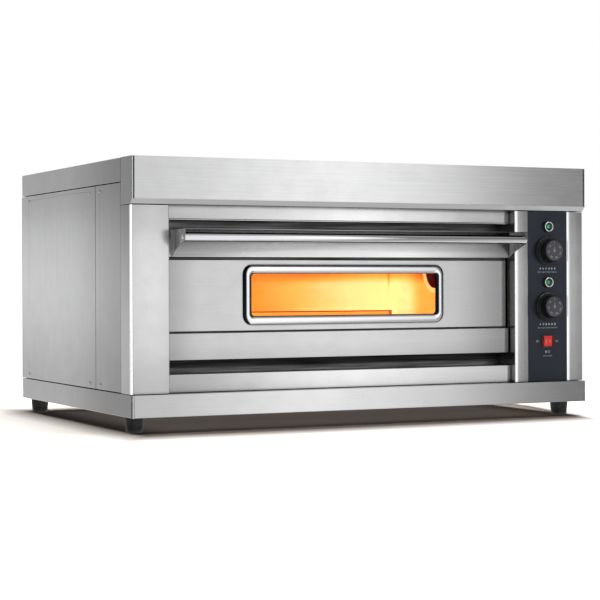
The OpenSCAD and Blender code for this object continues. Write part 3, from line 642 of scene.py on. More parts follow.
def bridge(bm, rings, closed=False):
    """Joins rings of equal length; closed joins the last ring back to the first."""
    pairs = list(zip(rings, rings[1:]))
    if closed:
        pairs.append((rings[-1], rings[0]))
    for a, b in pairs:
        for i in range(len(a)):
            j = (i + 1) % len(a)
            bm.faces.new((a[i], a[j], b[j], b[i]))


def turned(bm, profile, matrix, steps=48, flutes=0, flute_depth=0.0):
    """Turns (radius, height) points, in millimetres, about the matrix's Z axis.

    A point may hold a third value, the share of the flute depth that cuts into it there."""
    rings = []
    for point in profile:
        ring = []
        for i in range(steps):
            a = 2 * math.pi * i / steps
            share = point[2] if len(point) > 2 else 0.0
            r = point[0] - share * flute_depth * (0.5 - 0.5 * math.cos(flutes * a))
            ring.append(bm.verts.new(matrix @ Vector((r * math.cos(a), r * math.sin(a), point[1]))))
        rings.append(ring)
    bridge(bm, rings)
    bmesh.ops.remove_doubles(bm, verts=[v for ring in rings for v in ring], dist=0.001 * MM)


def turned_part(name, node, material, profile, at, steps):
    """A turned piece that stands in for a node."""
    bm = bmesh.new()
    turned(bm, profile, at, steps)
    stand_in(make(name, bm, material), node)


def turned_at(x, y, z, axis):
    """A frame in millimetres at a point in metres, with its Z along axis."""
    turn = Vector((0, 0, 1)).rotation_difference(Vector(axis)).to_matrix().to_4x4()
    return Matrix.Translation((x, y, z)) @ turn @ Matrix.Scale(MM, 4)


def rounded_loop(half_w, half_h, radius, steps=8):
    """Points of a rectangle with round corners, anticlockwise from the right."""
    points = []
    for sx, sz, start in ((1, 1, 0), (-1, 1, 90), (-1, -1, 180), (1, -1, 270)):
        for i in range(steps + 1):
            a = math.radians(start + 90 * i / steps)
            points.append((sx * (half_w - radius) + radius * math.cos(a),
                           sz * (half_h - radius) + radius * math.sin(a)))
    return points


def box(bm, low, high, matrix=Matrix.Identity(4)):
    """A box between two corners."""
    corners = [Vector(p) for p in ((x, y, z) for x in (low[0], high[0])
                                   for y in (low[1], high[1]) for z in (low[2], high[2]))]
    made = [bm.verts.new(matrix @ p) for p in corners]
    for quad in ((0, 1, 3, 2), (4, 6, 7, 5), (0, 4, 5, 1), (2, 3, 7, 6), (0, 2, 6, 4), (1, 5, 7, 3)):
        bm.faces.new([made[i] for i in quad])


# ---------------------------------------------------------------- cabinet

def reach_back(node, x):
    """How far back a node's side at x goes, in millimetres from its front."""
    points = [v.co for v in NODES[node].data.vertices]
    return (max(p.y for p in points if abs(p.x - x) < 0.3 * MM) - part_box(node)[0].y) / MM


def post_plan(width, left_return, right_return, bend, fold, thick):
    """Plan of a post from the back of its left return round to the back of its right one."""
    points = [(thick, left_return)]
    for corner_x, radius, start in ((bend, bend, 180), (width - fold, fold, 270)):
        steps = 18 if radius == bend else 6
        for i in range(steps + 1):
            a = math.radians(start + 90 * i / steps)
            inside = radius - thick
            points.append((corner_x + inside * math.cos(a), radius + inside * math.sin(a)))
    return points + [(width - thick, right_return)]


def post(node, hinge_side=None):
    """A folded upright: a wide round on its left edge, a tight one on its right."""
    low, high, _, size = measured(node)
    wide_bend, tight_bend, sheet = 8.0, 2.0, 1.2
    returns = reach_back(node, low.x), reach_back(node, high.x)
    bm = bmesh.new()
    loops = [post_plan(size.x, *returns, wide_bend, tight_bend, thick) for thick in (0.0, sheet)]
    rim = loops[0] + loops[1][::-1]
    rings = [[bm.verts.new((low.x + x * MM, low.y + y * MM, z)) for x, y in rim]
             for z in (low.z, high.z)]
    bridge(bm, rings)
    last = len(rim) - 1
    for ring in rings:
        for i in range(len(loops[0]) - 1):
            bm.faces.new((ring[i], ring[i + 1], ring[last - i - 1], ring[last - i]))
    piece = make(node + "_folded", bm, "steel_z", 40)
    if hinge_side is not None:
        drill(piece, high.x if hinge_side > 0 else low.x)
    stand_in(piece, node)


def drill(piece, x):
    """Cuts the clearance hole for the hinge bush through the side of a post at x."""
    mid = measured("hinge_bushes")[2]
    hole_r, depth = 8.5, 6.0
    bm = bmesh.new()
    at = turned_at(x - depth / 2 * MM, mid.y, mid.z, (1, 0, 0))
    turned(bm, [(0, 0), (hole_r, 0), (hole_r, depth), (0, depth)], at, 40)
    cutter = make("drill", bm, "steel_z")
    cut = piece.modifiers.new("hole", "BOOLEAN")
    cut.operation = "DIFFERENCE"
    cut.solver = "EXACT"
    cut.object = cutter
    made = bpy.data.meshes.new_from_object(piece.evaluated_get(bpy.context.evaluated_depsgraph_get()))
    made.set_sharp_from_angle(angle=math.radians(40))
    piece.modifiers.clear()
    piece.data = made
    bpy.data.objects.remove(cutter)


def cabinet():
    folded("header_fascia", "steel_header")
    folded("base_plinth", "steel_plinth")
    folded("lintel_panel", "steel_lintel")
    folded("sill_panel", "steel_sill")
    folded("top_cover", "steel_side", bend=2.0)
    post("left_post", 1)
    post("right_inner_post", -1)
    post("right_outer_post")
    for node in ("left_front_side_panel", "left_rear_side_panel", "right_front_side_panel",
                 "right_rear_side_panel"):
        folded(node, "steel_side", bend=1.6)
    keep("back_panel", "steel_side")
    keep("bottom_cover", "galvanised")
    keep("rear_uprights", "galvanised", 0.8)
    keep("chamber_supports", "galvanised", 0.8)
    keep("mouth_frame", "sooted", 0.4)


def feet():
    """Tapered rubber feet with a rolled lip, two grip grooves and a screw pocket below."""
    low, high, _, size = measured("feet")
    foot_r, top_r = 19.5, 23.0
    height = size.z
    bm = bmesh.new()
    for x in (low.x + top_r * MM, high.x - top_r * MM):
        for y in (low.y + top_r * MM, high.y - top_r * MM):
            profile = [(0, 3), (7, 3), (8, 2.2), (8.6, 0.6), (9.4, 0), (17.6, 0), (18.9, 0.5),
                       (foot_r, 1.8)]
            for groove in (9.0, 14.0):
                r = foot_r + (top_r - foot_r) * groove / height
                profile += [(r - 0.1, groove - 1.2), (r - 0.8, groove - 0.6), (r - 0.8, groove + 0.6),
                            (r + 0.1, groove + 1.2)]
            profile += [(top_r - 0.5, height - 4), (top_r, height - 1.6), (top_r - 0.5, height - 0.4),
                        (top_r - 1.6, height), (0, height)]
            turned(bm, profile, turned_at(x, y, low.z, (0, 0, 1)), 40)
    stand_in(make("feet_rubber", bm, "rubber"), "feet")
    keep("foot_bolts", "zinc", 0.4)


def cross_screw(bm, place, axis, head_r=4.2):
    """A pan-head screw with a crossed recess; place is where its head meets the sheet."""
    m = turned_at(*place, axis)
    slot = 0.55
    rise = 1.5
    turned(bm, [(2.0, -8), (2.0, 0), (head_r, 0), (head_r, 0.35), (head_r * 0.93, rise * 0.7),
                (head_r * 0.72, rise * 0.95), (head_r * 0.6, rise)], m, 20)
    ring_r = head_r * 0.6
    turns = [2 * math.pi * i / 20 for i in range(20)]
    circle = [m @ Vector((ring_r * math.cos(a), ring_r * math.sin(a), rise)) for a in turns]
    outer_v = [bm.verts.new(p) for p in circle]
    cross = []
    for quarter in range(4):
        turn = Matrix.Rotation(quarter * math.pi / 2, 4, "Z")
        for px, py in ((head_r * 0.48, -slot), (head_r * 0.48, slot), (slot, slot)):
            cross.append(turn @ Vector((px, py, 0)))
    top = [bm.verts.new(m @ (p + Vector((0, 0, rise)))) for p in cross]
    low = [bm.verts.new(m @ (p * 0.8 + Vector((0, 0, rise - 0.8)))) for p in cross]
    bridge(bm, [top, low])
    bm.faces.new(low)
    edges = []
    for ring in (outer_v, top):
        for i, v in enumerate(ring):
            pair = (v, ring[(i + 1) % len(ring)])
            edges.append(bm.edges.get(pair) or bm.edges.new(pair))
    bmesh.ops.triangle_fill(bm, edges=edges, use_beauty=True)
    bmesh.ops.remove_doubles(bm, verts=bm.verts, dist=0.001 * MM)


def panel_screws():
    """Screws at the CAD node's own places: its separate solids are grouped by nearness."""
    bm_cad = bmesh.new()
    bm_cad.from_mesh(NODES["panel_screws"].data)
    bmesh.ops.remove_doubles(bm_cad, verts=bm_cad.verts, dist=0.01 * MM)
    groups = {}
    for v in bm_cad.verts:
        key = None
        for other in groups:
            if (Vector(other) - v.co).length < 0.03:
                key = other
                break
        groups.setdefault(key or tuple(v.co), []).append(v.co.copy())
    bm_cad.free()
    left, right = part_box("left_rear_side_panel")[0].x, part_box("right_rear_side_panel")[1].x
    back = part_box("back_panel")[1].y
    bm = bmesh.new()
    for points in groups.values():
        mid = (Vector(map(min, *points)) + Vector(map(max, *points))) / 2
        if mid.x < left + 0.02:
            cross_screw(bm, (left, mid.y, mid.z), (-1, 0, 0))
        elif mid.x > right - 0.02:
            cross_screw(bm, (right, mid.y, mid.z), (1, 0, 0))
        else:
            cross_screw(bm, (mid.x, back, mid.z), (0, 1, 0))
    stand_in(make("panel_screws_crossed", bm, "zinc"), "panel_screws")


def rounded_rope(name, node, material):
    """A door gasket: a rope ring squeezed oval, following the mouth of the chamber."""
    low, high, mid, _ = measured(node)
    half = (high - low) / 2
    rope = 3.4 * MM
    bm = bmesh.new()
    rings = []
    sides = 12
    for i in range(sides):
        a = 2 * math.pi * i / sides
        inset = rope * (1 - math.cos(a))
        y = mid.y + half.y * math.sin(a)
        loop = rounded_loop(half.x - inset, half.z - inset, 12 * MM - inset * 0.8, 6)
        rings.append([bm.verts.new((mid.x + px, y, mid.z + pz)) for px, pz in loop])
    bridge(bm, rings, closed=True)
    stand_in(make(name, bm, material, 60), node)


# ---------------------------------------------------------------- baking chamber

def element_places(node):
    """Centres of the U-shaped elements along X, from the row's span and the elements' pitch."""
    low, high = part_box(node)
    radius = (high.z - low.z) / 2
    span = 110 * MM
    first = low.x + radius + span / 2
    last = high.x - radius - span / 2
    return [first, (first + last) / 2, last], span / 2, radius


def heating_elements(node, material):
    """Sheathed tubes bent to a U, with ceramic beads and threaded ends behind the chamber."""
    low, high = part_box(node)
    centres, half, radius = element_places(node)
    z = (low.z + high.z) / 2
    bend_y = low.y + half + radius
    tail = high.y - 14 * MM
    bm = bmesh.new()
    sides = 14
    for x in centres:
        path = [(x - half, tail), (x - half, bend_y)]
        for i in range(1, 18):
            a = math.pi + math.pi * i / 18
            path.append((x + half * math.cos(a), bend_y + half * math.sin(a)))
        path += [(x + half, bend_y), (x + half, tail)]
        rings = []
        for i, point in enumerate(path):
            before = Vector(path[max(i - 1, 0)])
            after = Vector(path[min(i + 1, len(path) - 1)])
            heading = (after - before).normalized()
            side = Vector((heading.y, -heading.x, 0))
            ring = []
            for j in range(sides):
                a = 2 * math.pi * j / sides
                offset = side * math.cos(a) * radius + Vector((0, 0, math.sin(a) * radius))
                ring.append(bm.verts.new(Vector((point[0], point[1], z)) + offset))
            rings.append(ring)
        bridge(bm, rings)
        for end, ring in ((x - half, rings[0]), (x + half, rings[-1])):
            bm.faces.new(ring)
            bead_and_stud = [(0, 0), (3.6, 0), (3.9, 0.5), (3.9, 3.5), (2.0, 4), (2.0, 13.5),
                             (1.6, 14), (0, 14)]
            turned(bm, bead_and_stud, turned_at(end, tail, z, (0, 1, 0)), 16)
    stand_in(make(node + "_sheathed", bm, material), node)


def chamber():
    keep("oven_chamber", "chamber", 0.5)
    keep("hearth_plate", "hearth", 0.6)
    keep("hearth_rails", "galvanised", 0.5)
    heating_elements("upper_heating_elements", "hot")
    heating_elements("lower_heating_elements", "hot")
    keep("element_clips", "zinc", 0.3)
    rounded_rope("mouth_gasket_rope", "mouth_gasket", "rope")
    lamp()


def lamp():
    """Chamber lamp: a rolled ring, a domed cover glass, a pressed housing and its bulb."""
    low, high, mid, size = measured("lamp_ring")
    outer, thick = size.z / 2, size.x
    inner = outer - 12
    facing_in, facing_out = (-1, 0, 0), (1, 0, 0)
    rolled = [(inner, 0), (inner, thick * 0.4), (inner + 1.2, thick * 0.8), (inner + 3, thick),
              (inner + 5, thick * 0.8), (outer - 4.5, thick * 0.7), (outer - 2.5, thick * 0.95),
              (outer - 0.8, thick * 0.7), (outer, thick * 0.2), (outer, 0), (inner, 0)]
    turned_part("lamp_ring_rolled", "lamp_ring", "lamp_rim", rolled,
                turned_at(high.x, mid.y, mid.z, facing_in), 72)
    low, high, _, size = measured("lamp_glass")
    r = size.z / 2
    dome = [(0, 0), (r - 0.5, 0), (r, 0.6), (r, 2.2), (r - 0.8, 3.2)]
    dome += quarter_round(r - 2, 3.4, 1.5, (0, 20, 40, 60, 75, 90))
    turned_part("lamp_glass_domed", "lamp_glass", "ruby", dome,
                turned_at(high.x, mid.y, mid.z, facing_in), 64)
    low, high, _, size = measured("lamp_housing")
    r, deep = size.z / 2, size.x
    pressed = [(r, 0), (r, deep - 5), (r - 1.5, deep - 1.6), (r - 5, deep), (0, deep), (0, deep - 1.5),
               (r - 5.6, deep - 1.5), (r - 3, deep - 3), (r - 1.5, deep - 6), (r - 1.5, 0), (r, 0)]
    turned_part("lamp_housing_pressed", "lamp_housing", "galvanised", pressed,
                turned_at(low.x, mid.y, mid.z, facing_out), 48)
    low, high, _, size = measured("lamp_bulb")
    r = size.z / 2
    glass = [(0, 0), (6.4, 0), (6.9, 0.6)]
    for i in range(4):
        glass += [(6.9, 1.0 + i * 2.2), (6.1, 2.0 + i * 2.2)]
    glass += [(6.9, 10), (7.2, 11), (9.6, 13), (r, 16)]
    glass += quarter_round(r, 17, size.x - 17, (0, 20, 40, 60, 78, 90))
    turned_part("lamp_bulb_blown", "lamp_bulb", "bulb", glass,
                turned_at(high.x, mid.y, mid.z, facing_in), 32)


def quarter_round(radius, base, rise, degrees):
    """Profile points of a dome: from the radius at its base up to its crown."""
    turns = [math.radians(d) for d in degrees]
    return [(radius * math.cos(a), base + rise * math.sin(a)) for a in turns]


# ---------------------------------------------------------------- door

def window_bezel():
    """A polished half-round moulding around the window, swept round its rounded rectangle."""
    low, high, mid, _ = measured("window_bezel")
    half = (high - low) / 2
    width = 22 * MM
    rise = high.y - low.y
    outer_r, inner_r = 23 * MM, 8 * MM
    steps = 16
    bm = bmesh.new()
    rings = []
    for i in range(steps + 1):
        t = i / steps
        inset = width * t
        y = high.y - rise * (1 - abs(2 * t - 1) ** 2.3) ** (1 / 2.3)
        loop = rounded_loop(half.x - inset, half.z - inset, outer_r + (inner_r - outer_r) * t, 10)
        rings.append([bm.verts.new((mid.x + px, y, mid.z + pz)) for px, pz in loop])
    bridge(bm, rings, closed=True)
    stand_in(make("window_bezel_polished", bm, "bezel", 50), "window_bezel")


def handle():
    """The handle tube with rolled ends, and the dome-headed bolts that hold it."""
    low, high, mid, size = measured("handle_tube")
    r, length = size.z / 2, size.x
    tube = [(r - 1.5, 0), (r - 0.5, 0), (r - 0.12, 0.12), (r, 0.5), (r, length - 0.5),
            (r - 0.12, length - 0.12), (r - 0.5, length), (r - 1.5, length), (r - 1.5, 0)]
    turned_part("handle_tube_polished", "handle_tube", "tube", tube,
                turned_at(low.x, mid.y, mid.z, (1, 0, 0)), 72)
    low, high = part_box("handle_ends")
    head_r, head_h = 6.5, 2.5
    dome = [(0, 1.6), (2.4, 1.6), (2.4, 0.1), (3.2, 0.0), (4.6, 0.45), (5.8, 1.2), (head_r, 2.1),
            (head_r, head_h), (3.0, head_h), (3.0, head_h + 2), (r - 1.55, head_h + 2),
            (r - 1.55, head_h + 15.8), (0, head_h + 16)]
    bm = bmesh.new()
    for x, side in ((low.x, 1), (high.x, -1)):
        turned(bm, dome, turned_at(x, mid.y, mid.z, (side, 0, 0)), 32)
    stand_in(make("handle_ends_domed", bm, "chrome"), "handle_ends")


def door():
    folded("door_hood", "steel_hood", bend=1.4)
    folded("door_window_panel", "steel_x", bend=1.4)
    folded("door_lower_panel", "steel_x", bend=1.6)
    keep("door_core_plate", "sooted", 0.2)
    folded("door_liner", "steel_dull", bend=1.6)
    keep("door_insulation", "wool", 1.5)
    keep("window_tunnel", "steel_dull", 0.3)
    keep("outer_glass", "glass", 0.5)
    keep("inner_glass", "glass", 0.5)
    window_bezel()
    handle()
    keep("hinge_pins", "zinc", 0.4)
    keep("hinge_bushes", "bronze", 0.3)
    keep("hinge_brackets", "galvanised", 0.5)


# ---------------------------------------------------------------- controls

def numeral(bm, text, size_mm, matrix):
    """Adds a generic number, cut as a thin solid, in the matrix's XY plane (millimetres)."""
    curve = bpy.data.curves.new("numeral", "FONT")
    curve.body = text
    curve.size = size_mm
    curve.resolution_u = 2
    curve.extrude = 0.06
    curve.align_x = "CENTER"
    curve.align_y = "CENTER"
    holder = bpy.data.objects.new("numeral", curve)
    bpy.context.scene.collection.objects.link(holder)
    mesh = bpy.data.meshes.new_from_object(holder)
    bpy.data.objects.remove(holder)
    mesh.transform(matrix)
    bm.from_mesh(mesh)
    bpy.data.meshes.remove(mesh)


def knob(node, prefix):
    """A stepped knob: skirt, collar, fluted grip and a dished face with its scale."""
    _, high, mid, size = measured(node)
    r, h = size.z / 2, size.y
    at = turned_at(mid.x, high.y, mid.z, (0, -1, 0))
    body = [(3.2, 2.0), (14, 2.0), (14, 0), (r - 0.8, 0), (r, 0.8), (r, 2.8), (r - 0.7, 3.7),
            (r - 3.2, 4.1), (r - 3.6, 4.6), (r - 4.2, 8.4), (r - 5.0, 9.2), (r - 6.0, 9.4), (r - 6.3, 10.2),
            (r - 6.4, 11.0, 1), (r - 7.2, 16, 1), (r - 7.8, h - 4.6, 1), (r - 8.2, h - 2.4, 0.6),
            (r - 9.2, h - 0.7, 0), (r - 10.2, h - 0.1, 0), (r - 11.0, h, 0), (r - 11.6, h - 0.5, 0)]
    bm = bmesh.new()
    turned(bm, body, at, 144, 36, 0.9)
    stand_in(make(prefix + "_knob_fluted", bm, "bakelite", 40), node)
    face_r = r - 11.6
    dish = [(face_r + 0.01, h - 0.6), (face_r - 1.2, h - 0.9), (face_r * 0.5, h - 1.0), (0, h - 1.0)]
    turned_part(prefix + "_knob_face", node, "dial_face", dish, at, 96)
    scale = bmesh.new()
    flat = at @ Matrix.Translation((0, 0, h - 0.86))
    for value in range(0, 301, 50):
        turn = Matrix.Rotation(math.radians(value), 4, "Z")
        upright = turn @ Matrix.Translation((0, 17.4, 0))
        numeral(scale, str(value), 5.4, flat @ upright)
    for value in range(0, 301, 10):
        long = value % 50 == 0
        turn = Matrix.Rotation(math.radians(value), 4, "Z")
        box(scale, (-0.35, 21.2 if long else 22.2, 0.0), (0.35, 23.6, 0.12), flat @ turn)
    for i in range(20):
        a, b = (math.radians(18 * (i + k)) for k in (0, 1))
        made = [scale.verts.new(flat @ Vector((rr * math.cos(c), rr * math.sin(c), 0.1)))
                for c, rr in ((a, 3.4), (b, 3.4), (b, 1.9), (a, 1.9))]
        scale.faces.new(made)
    box(scale, (-0.6, 4.5, 0.0), (0.6, 9.0, 0.12), flat)
    stand_in(make(prefix + "_knob_scale", scale, "ink_dim"), node)


def pilot_lamps():
    """Two lamps: black barrel, bright ring, green dome and the nut behind the panel."""
    low, high, mid, _ = measured("pilot_lamps")
    r = 13.0
    panel_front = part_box("control_panel")[0].y
    barrel, ring, dome = bmesh.new(), bmesh.new(), bmesh.new()
    body = [(0, 2), (8, 2), (8, 0), (r - 0.4, 0), (r, 0.6), (r, 3), (r - 0.6, 3.4), (r - 0.6, 4.4),
            (r, 4.8), (r, 8.0), (r - 0.8, 8.9), (9, 8.9), (9, 6), (0, 6)]
    bright = [(r - 0.9, 8.2), (r - 0.4, 9.0), (r - 0.8, 9.9), (r - 1.9, 10.2), (r - 2.9, 9.8),
              (r - 3.3, 8.9), (r - 3.3, 7.6), (r - 0.9, 8.2)]
    cap = [(8.6, 6.2), (8.6, 8.2)] + quarter_round(8.4, 8.4, 5.2, range(0, 91, 15))
    shank = [(0, 28.5), (7.4, 28.5), (8, 28), (8, 5), (7.4, 4.4), (8, 3.8), (8, -1.4), (0, -1.4)]
    nut = [(8.05, 0.05), (12, 0.05), (12, 0.5), (11.6, 3.0), (8.05, 3.0), (8.05, 0.05)]
    for z in (high.z - r * MM, low.z + r * MM):
        at = turned_at(mid.x, panel_front, z, (0, -1, 0))
        turned(barrel, body, at, 56)
        turned(ring, bright, at, 56)
        turned(dome, cap, at, 48)
        behind = turned_at(mid.x, panel_front + 1.5 * MM, z, (0, 1, 0))
        turned(barrel, shank, behind, 32)
        turned(barrel, nut, behind, 6)
    stand_in(make("pilot_lamp_barrels", barrel, "plastic"), "pilot_lamps")
    stand_in(make("pilot_lamp_rings", ring, "chrome"), "pilot_lamps")
    stand_in(make("pilot_lamp_domes", dome, "green"), "pilot_lamps")


def rocker():
    """The rocker: two faces meeting in a shallow valley, with its on and off marks."""
    keep("switch_housing", "plastic", 0.4)
    keep("switch_rocker", "red", 0.7, 3)
    mid = measured("switch_rocker")[2]
    tilt = math.radians(10)
    marks = bmesh.new()
    for side in (-1, 1):
        lean = Matrix.Rotation(tilt + side * math.atan2(1.8, 13.9), 4, "Z")
        across = Vector((math.cos(tilt), math.sin(tilt), 0)) * side * 7.2 * MM
        face = rocker_face(mid, across)
        at = Matrix.Translation(face) @ lean @ Matrix.Scale(MM, 4)
        if side > 0:
            box(marks, (-0.5, -0.12, -3.4), (0.5, 0.05, 3.4), at)
        else:
            turned(marks, [(3.6, 0), (3.6, 0.12), (2.5, 0.12), (2.5, 0)],
                   at @ Matrix.Rotation(math.pi / 2, 4, "X"), 28)
    piece = make("rocker_marks", marks, "ink_gold")
    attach(piece, BODY["switch_rocker"])


def rocker_face(mid, across):
    """The middle of one face of the rocker, found by casting a ray on its CAD mesh."""
    start = Vector((mid.x + across.x, mid.y - 0.1, mid.z))
    hit, place, _, _ = NODES["switch_rocker"].ray_cast(start, Vector((0, 1, 0)))
    return place if hit else start


def print_marks():
    """Plain printed symbols on the panel: heat scales under the dials, lamp and switch signs."""
    low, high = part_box("control_panel")
    x = (low.x + high.x) / 2
    y = low.y
    thick = 0.08 * MM
    bright, dim = bmesh.new(), bmesh.new()

    def bar(bm, cx, z, w, h, turn=0.0):
        m = Matrix.Translation((x + cx * MM, y, z)) @ Matrix.Rotation(math.radians(turn), 4, "Y")
        box(bm, (-w / 2 * MM, -thick, -h / 2 * MM), (w / 2 * MM, 0.02 * MM, h / 2 * MM), m)

    def hoop(bm, cx, z, r, w=0.9):
        at = turned_at(x + cx * MM, y, z, (0, -1, 0))
        turned(bm, [(r, 0), (r, 0.08), (r - w, 0.08), (r - w, 0)], at, 24)

    def wave(bm, cx, z, height):
        for i, lean in enumerate((28, -28, 28)):
            bar(bm, cx, z + (1 - i) * height / 3 * MM, 0.8, height / 2.4, lean)

    for node in ("upper_knob", "lower_knob"):
        z = measured(node)[2].z
        row = z - 44.5 * MM
        for i in range(6):
            wave(bright, -21.5 + i * 8.6, row, 5.0)
            bar(bright, -19.6 + i * 8.6, row, 0.8, 2.0 + 0.6 * i)
        line = z - 53.5 * MM
        for i in range(15):
            bar(dim, -27.3 + i * 3.9, line, 1.3, 2.6 if i % 4 else 4.2)
    z = measured("switch_rocker")[2].z
    hoop(dim, -31, z, 3.0)
    bar(dim, -25.5, z, 0.9, 5)
    bar(dim, 31, z, 0.9, 5)
    hoop(dim, 26.5, z, 2.4)
    sign_z = z - 26.5 * MM
    hoop(bright, -4, sign_z, 2.6)
    for i in range(8):
        a = math.radians(45 * i)
        bar(bright, 4.5 + 2.8 * math.sin(a), sign_z + 2.8 * math.cos(a) * MM, 0.7, 1.5, 45 * i)
    for i in range(8):
        bar(dim, -12.2 + i * 3.5, z - 37 * MM, 1.4, 2.4)
    for name, bm, material in (("panel_print", bright, "ink"), ("panel_print_small", dim, "ink_dim")):
        piece = make(name, bm, material)
        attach(piece, "cabinet")


def cable_gland():
    """Hexagonal body, ribbed dome nut and threaded sleeve around a clear bore."""
    low, high, mid, _ = measured("cable_gland")
    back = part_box("back_panel")[1].y
    bore = 8.0
    inner = (low.y - back) / MM
    outer = (high.y - back) / MM
    at = turned_at(mid.x, back, mid.z, (0, 1, 0))
    thread = [(bore, inner), (10.4, inner)]
    for i in range(7):
        start = inner + 0.6 + i * 1.7
        thread += [(11.0, start), (10.2, start + 0.85)]
    thread += [(11.0, -0.2), (11.0, 0.0), (bore, 0.0), (bore, inner)]
    hexagon = [(bore, 0.0), (15.0, 0.0), (15.9, 0.6), (15.9, 7.4), (15.0, 8.0), (bore, 8.0),
               (bore, 0.0)]
    ribbed = [(bore, 8.0), (12.6, 8.0), (13, 8.6, 1), (13, 13.5, 1), (12.2, 16.2, 0.6),
              (10.4, outer - 0.3), (9.4, outer), (bore, outer - 0.5), (bore, 8.0)]
    lock_nut = [(11.05, -6.3), (15.0, -6.3), (15.9, -5.8), (15.9, -1.6), (11.05, -1.4), (11.05, -6.3)]
    bm = bmesh.new()
    turned(bm, thread, at, 40)
    turned(bm, hexagon, at, 6)
    turned(bm, ribbed, at, 96, 24, 0.9)
    turned(bm, lock_nut, at, 6)
    stand_in(make("cable_gland_ribbed", bm, "plastic"), "cable_gland")


def controls():
    keep("control_panel", "panel", 0.4)
    print_marks()
    for level in ("upper", "lower"):
        knob(level + "_knob", level)
        keep(level + "_knob_shaft", "zinc", 0.3)
        keep(level + "_thermostat", "cream", 0.6)
    pilot_lamps()
    rocker()
    keep("contactor", "plastic", 0.6)
    keep("terminal_block", "ceramic", 0.5)
    keep("chamber_insulation", "wool")
    cable_gland()


# ---------------------------------------------------------------- studio

def floor():
    bm = bmesh.new()
    bmesh.ops.create_circle(bm, cap_ends=True, radius=40.0, segments=64)
    M["floor"] = pale_floor()
    piece = make("studio_floor", bm, "floor")
    piece.visible_glossy = False


def pale_floor():
    """Pale paper with a painted soft brown contact shadow and a faint painted shadow left of the oven,
    that turns to plain white away from the oven.
    """
    s = Shader("studio_floor_pale")
    tone = s.tones(s.noise(3.0), (0.3, (0.90, 0.845, 0.805)), (0.7, (0.92, 0.865, 0.825)))
    x, y = s.axes()[:2]
    right_edge = s.math("MINIMUM", s.plus(s.times(y, 0.25), 0.67), 0.66)
    outside = s.times(s.minus(x, right_edge), 5.0)
    for side, sign, edge, rate in ((x, -1.0, 0.56, 1.2), (y, -1.0, 0.40, 1.0), (y, 1.0, 0.40, 1.0)):
        past = s.minus(s.times(side, sign), edge)
        outside = s.largest(outside, s.times(past, rate))
    # Painted shadow: dark and brown under the oven, fading out past its edges.
    dark = s.tinted(s.remap(outside, -0.1, 0.03, 0.34, 0.18), (1.0, 0.87, 0.78, 1.0))
    contact = s.mix(s.remap(outside, 0.03, 0.16), dark, 1.0)
    # A faint painted shadow left of the oven.
    faint = s.mix(s.remap(y, -0.64, -0.48, soft=True), 1.0,
                  sheen(s, "x", (-1.05, -0.62), (-0.62, -0.5), (1.0, 0.74, 1.0)))
    contact = s.tinted(contact, faint)
    s.set(Base_Color=s.tinted(tone, contact), Roughness=0.9, Specular_IOR_Level=0.1)
    away = s.add("VectorMath", {0: s.place}, operation="LENGTH").outputs["Value"]
    white = s.add("Emission", {"Color": (1, 1, 1, 1), "Strength": 1.05}).outputs[0]
    ground = s.add("MixShader", {0: s.remap(away, 1.1, 1.9, soft=True), 1: s.surface.outputs[0], 2: white})
    s.tree.links.new(ground.outputs[0], s.tree.nodes["Material Output"].inputs["Surface"])
    return s.material


# Tones of the room at (degrees round from straight ahead of the oven, tone), at eye height and below.
WALL_STOPS = ((-180, 0.80), (-164, 0.68), (-158, 0.44), (-154, 0.30), (-130, 0.26), (-95, 0.12),
              (-45, 0.10), (-12, 0.70), (12, 1.15), (26, 1.60), (30.5, 1.15), (34, 0.26), (60, 0.18),
              (90, 0.25), (120, 0.5), (150, 0.6), (180, 0.50))
GROUND_STOPS = ((-180, 1.0), (-157, 1.0), (-130, 0.8), (-95, 0.5), (-45, 0.5), (-12, 0.9), (12, 1.1),
                (26, 1.35), (30.5, 1.0), (34, 0.34), (60, 0.7), (90, 1.0), (120, 1.0), (180, 1.0))


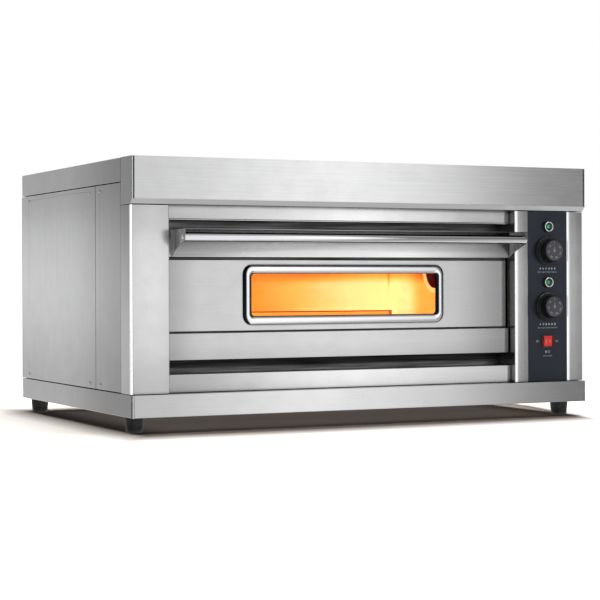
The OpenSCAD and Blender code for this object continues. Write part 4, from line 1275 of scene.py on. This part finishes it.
def studio_world():
    """Soft studio surroundings: a bright wall ahead on the right, darker flats elsewhere."""
    world = bpy.data.worlds.new("studio")
    world.use_nodes = True
    bpy.context.scene.world = world
    tree = world.node_tree
    tree.nodes.clear()

    def add(kind, inputs=None, **settings):
        return add_node(tree, kind, inputs, **settings)

    def by_azimuth(turn, stops):
        node = add("ValToRGB", {"Fac": turn})
        node.color_ramp.interpolation = "EASE"
        return fill_ramp(node, [((degrees + 180) / 360, (tone / 2,) * 3) for degrees, tone in stops])

    direction = add("TexCoord").outputs["Generated"]
    x, y, z = add("SeparateXYZ", {0: direction}).outputs[:3]
    ahead = add("Math", {0: y, 1: -1.0}, operation="MULTIPLY").outputs[0]
    azimuth = add("Math", {0: x, 1: ahead}, operation="ARCTAN2").outputs[0]
    turn = add("MapRange", {"Value": azimuth, "From Min": -math.pi, "From Max": math.pi}).outputs[0]
    wall = by_azimuth(turn, WALL_STOPS)
    ground = by_azimuth(turn, GROUND_STOPS)
    below = add("MapRange", {"Value": z, "From Min": 0.06, "From Max": -0.10},
                interpolation_type="SMOOTHSTEP").outputs[0]
    above = add("MapRange", {"Value": z, "From Min": 0.35, "From Max": 0.75},
                interpolation_type="SMOOTHSTEP").outputs[0]
    sides = add("MixRGB", {0: below, 1: wall, 2: ground}).outputs[0]
    around = add("MixRGB", {0: above, 1: sides, 2: (0.22, 0.22, 0.22, 1.0)}).outputs[0]
    diffuse = add("LightPath").outputs["Is Diffuse Ray"]
    power = add("MapRange", {"Value": diffuse, "To Min": 2.0, "To Max": 0.7}).outputs[0]
    lit = add("Background", {"Color": around, "Strength": power}).outputs[0]
    white = add("Background", {"Color": (1, 1, 1, 1), "Strength": 1.0}).outputs[0]
    seen = add("LightPath").outputs["Is Camera Ray"]
    joined = add("MixShader", {0: seen, 1: lit, 2: white}).outputs[0]
    tree.links.new(joined, add("OutputWorld").inputs["Surface"])


def area_light(name, place, target, size, power, only=None):
    """A rectangular softbox; only names the pieces it lights, if not all."""
    light = bpy.data.lights.new(name, "AREA")
    light.shape = "RECTANGLE"
    light.size, light.size_y = size
    light.energy = power
    lamp_object = bpy.data.objects.new(name, light)
    bpy.context.scene.collection.objects.link(lamp_object)
    lamp_object.location = place
    lamp_object.rotation_euler = (Vector(target) - Vector(place)).to_track_quat("-Z", "Y").to_euler()
    if only:
        group = bpy.data.collections.new(name + "_lit")
        for piece in only:
            group.objects.link(bpy.data.objects[piece])
        lamp_object.light_linking.receiver_collection = group
    return lamp_object


def lights():
    overhead = area_light("overhead_softbox", (0.1, 0.25, 3.0), (0, 0, 0), (3.8, 3.2), 330.0)
    overhead.visible_glossy = False
    place, target = (-2.6, -1.9, 0.5), (-0.2, -0.4, 0.35)
    area_light("side_strip", place, target, (0.9, 1.6), 16.0, ["left_post_folded"])
    area_light("side_strip_dim", place, target, (0.9, 1.6), 14.0,
               ["right_inner_post_folded", "right_outer_post_folded", "header_fascia_folded",
                "base_plinth_folded"])
    area_light("controls_key", (1.65, -2.35, 0.55), (0.506, -0.38, 0.35), (0.35, 0.35), 11.0,
               ["control_panel", "panel_print", "panel_print_small", "pilot_lamp_barrels",
                "upper_knob_fluted", "upper_knob_face", "upper_knob_scale",
                "lower_knob_fluted", "lower_knob_face", "lower_knob_scale"])


def camera():
    """The viewing angle: level, from the front left, shifted down to hold the verticals."""
    yaw = math.radians(25.953)
    roll = -0.0034
    ahead = Vector((math.sin(yaw), math.cos(yaw), 0))
    right = Vector((math.cos(yaw), -math.sin(yaw), 0))
    up = Vector((0, 0, 1))
    right_rolled = right * math.cos(roll) + up * math.sin(roll)
    up_rolled = up * math.cos(roll) - right * math.sin(roll)
    view = bpy.data.cameras.new("camera")
    view.lens = 105.12
    view.sensor_width = 36.0
    view.shift_y = -0.0301
    view.clip_end = 200.0
    holder = bpy.data.objects.new("camera", view)
    bpy.context.scene.collection.objects.link(holder)
    basis = Matrix((right_rolled, up_rolled, -ahead)).transposed().to_4x4()
    holder.matrix_world = Matrix.Translation((-1.9836, -4.0772, 0.3408)) @ basis
    bpy.context.scene.camera = holder


# ---------------------------------------------------------------- assembly

cabinet()
feet()
panel_screws()
chamber()
door()
controls()
floor()
studio_world()
lights()
camera()
bpy.context.scene.view_settings.view_transform = "Standard"
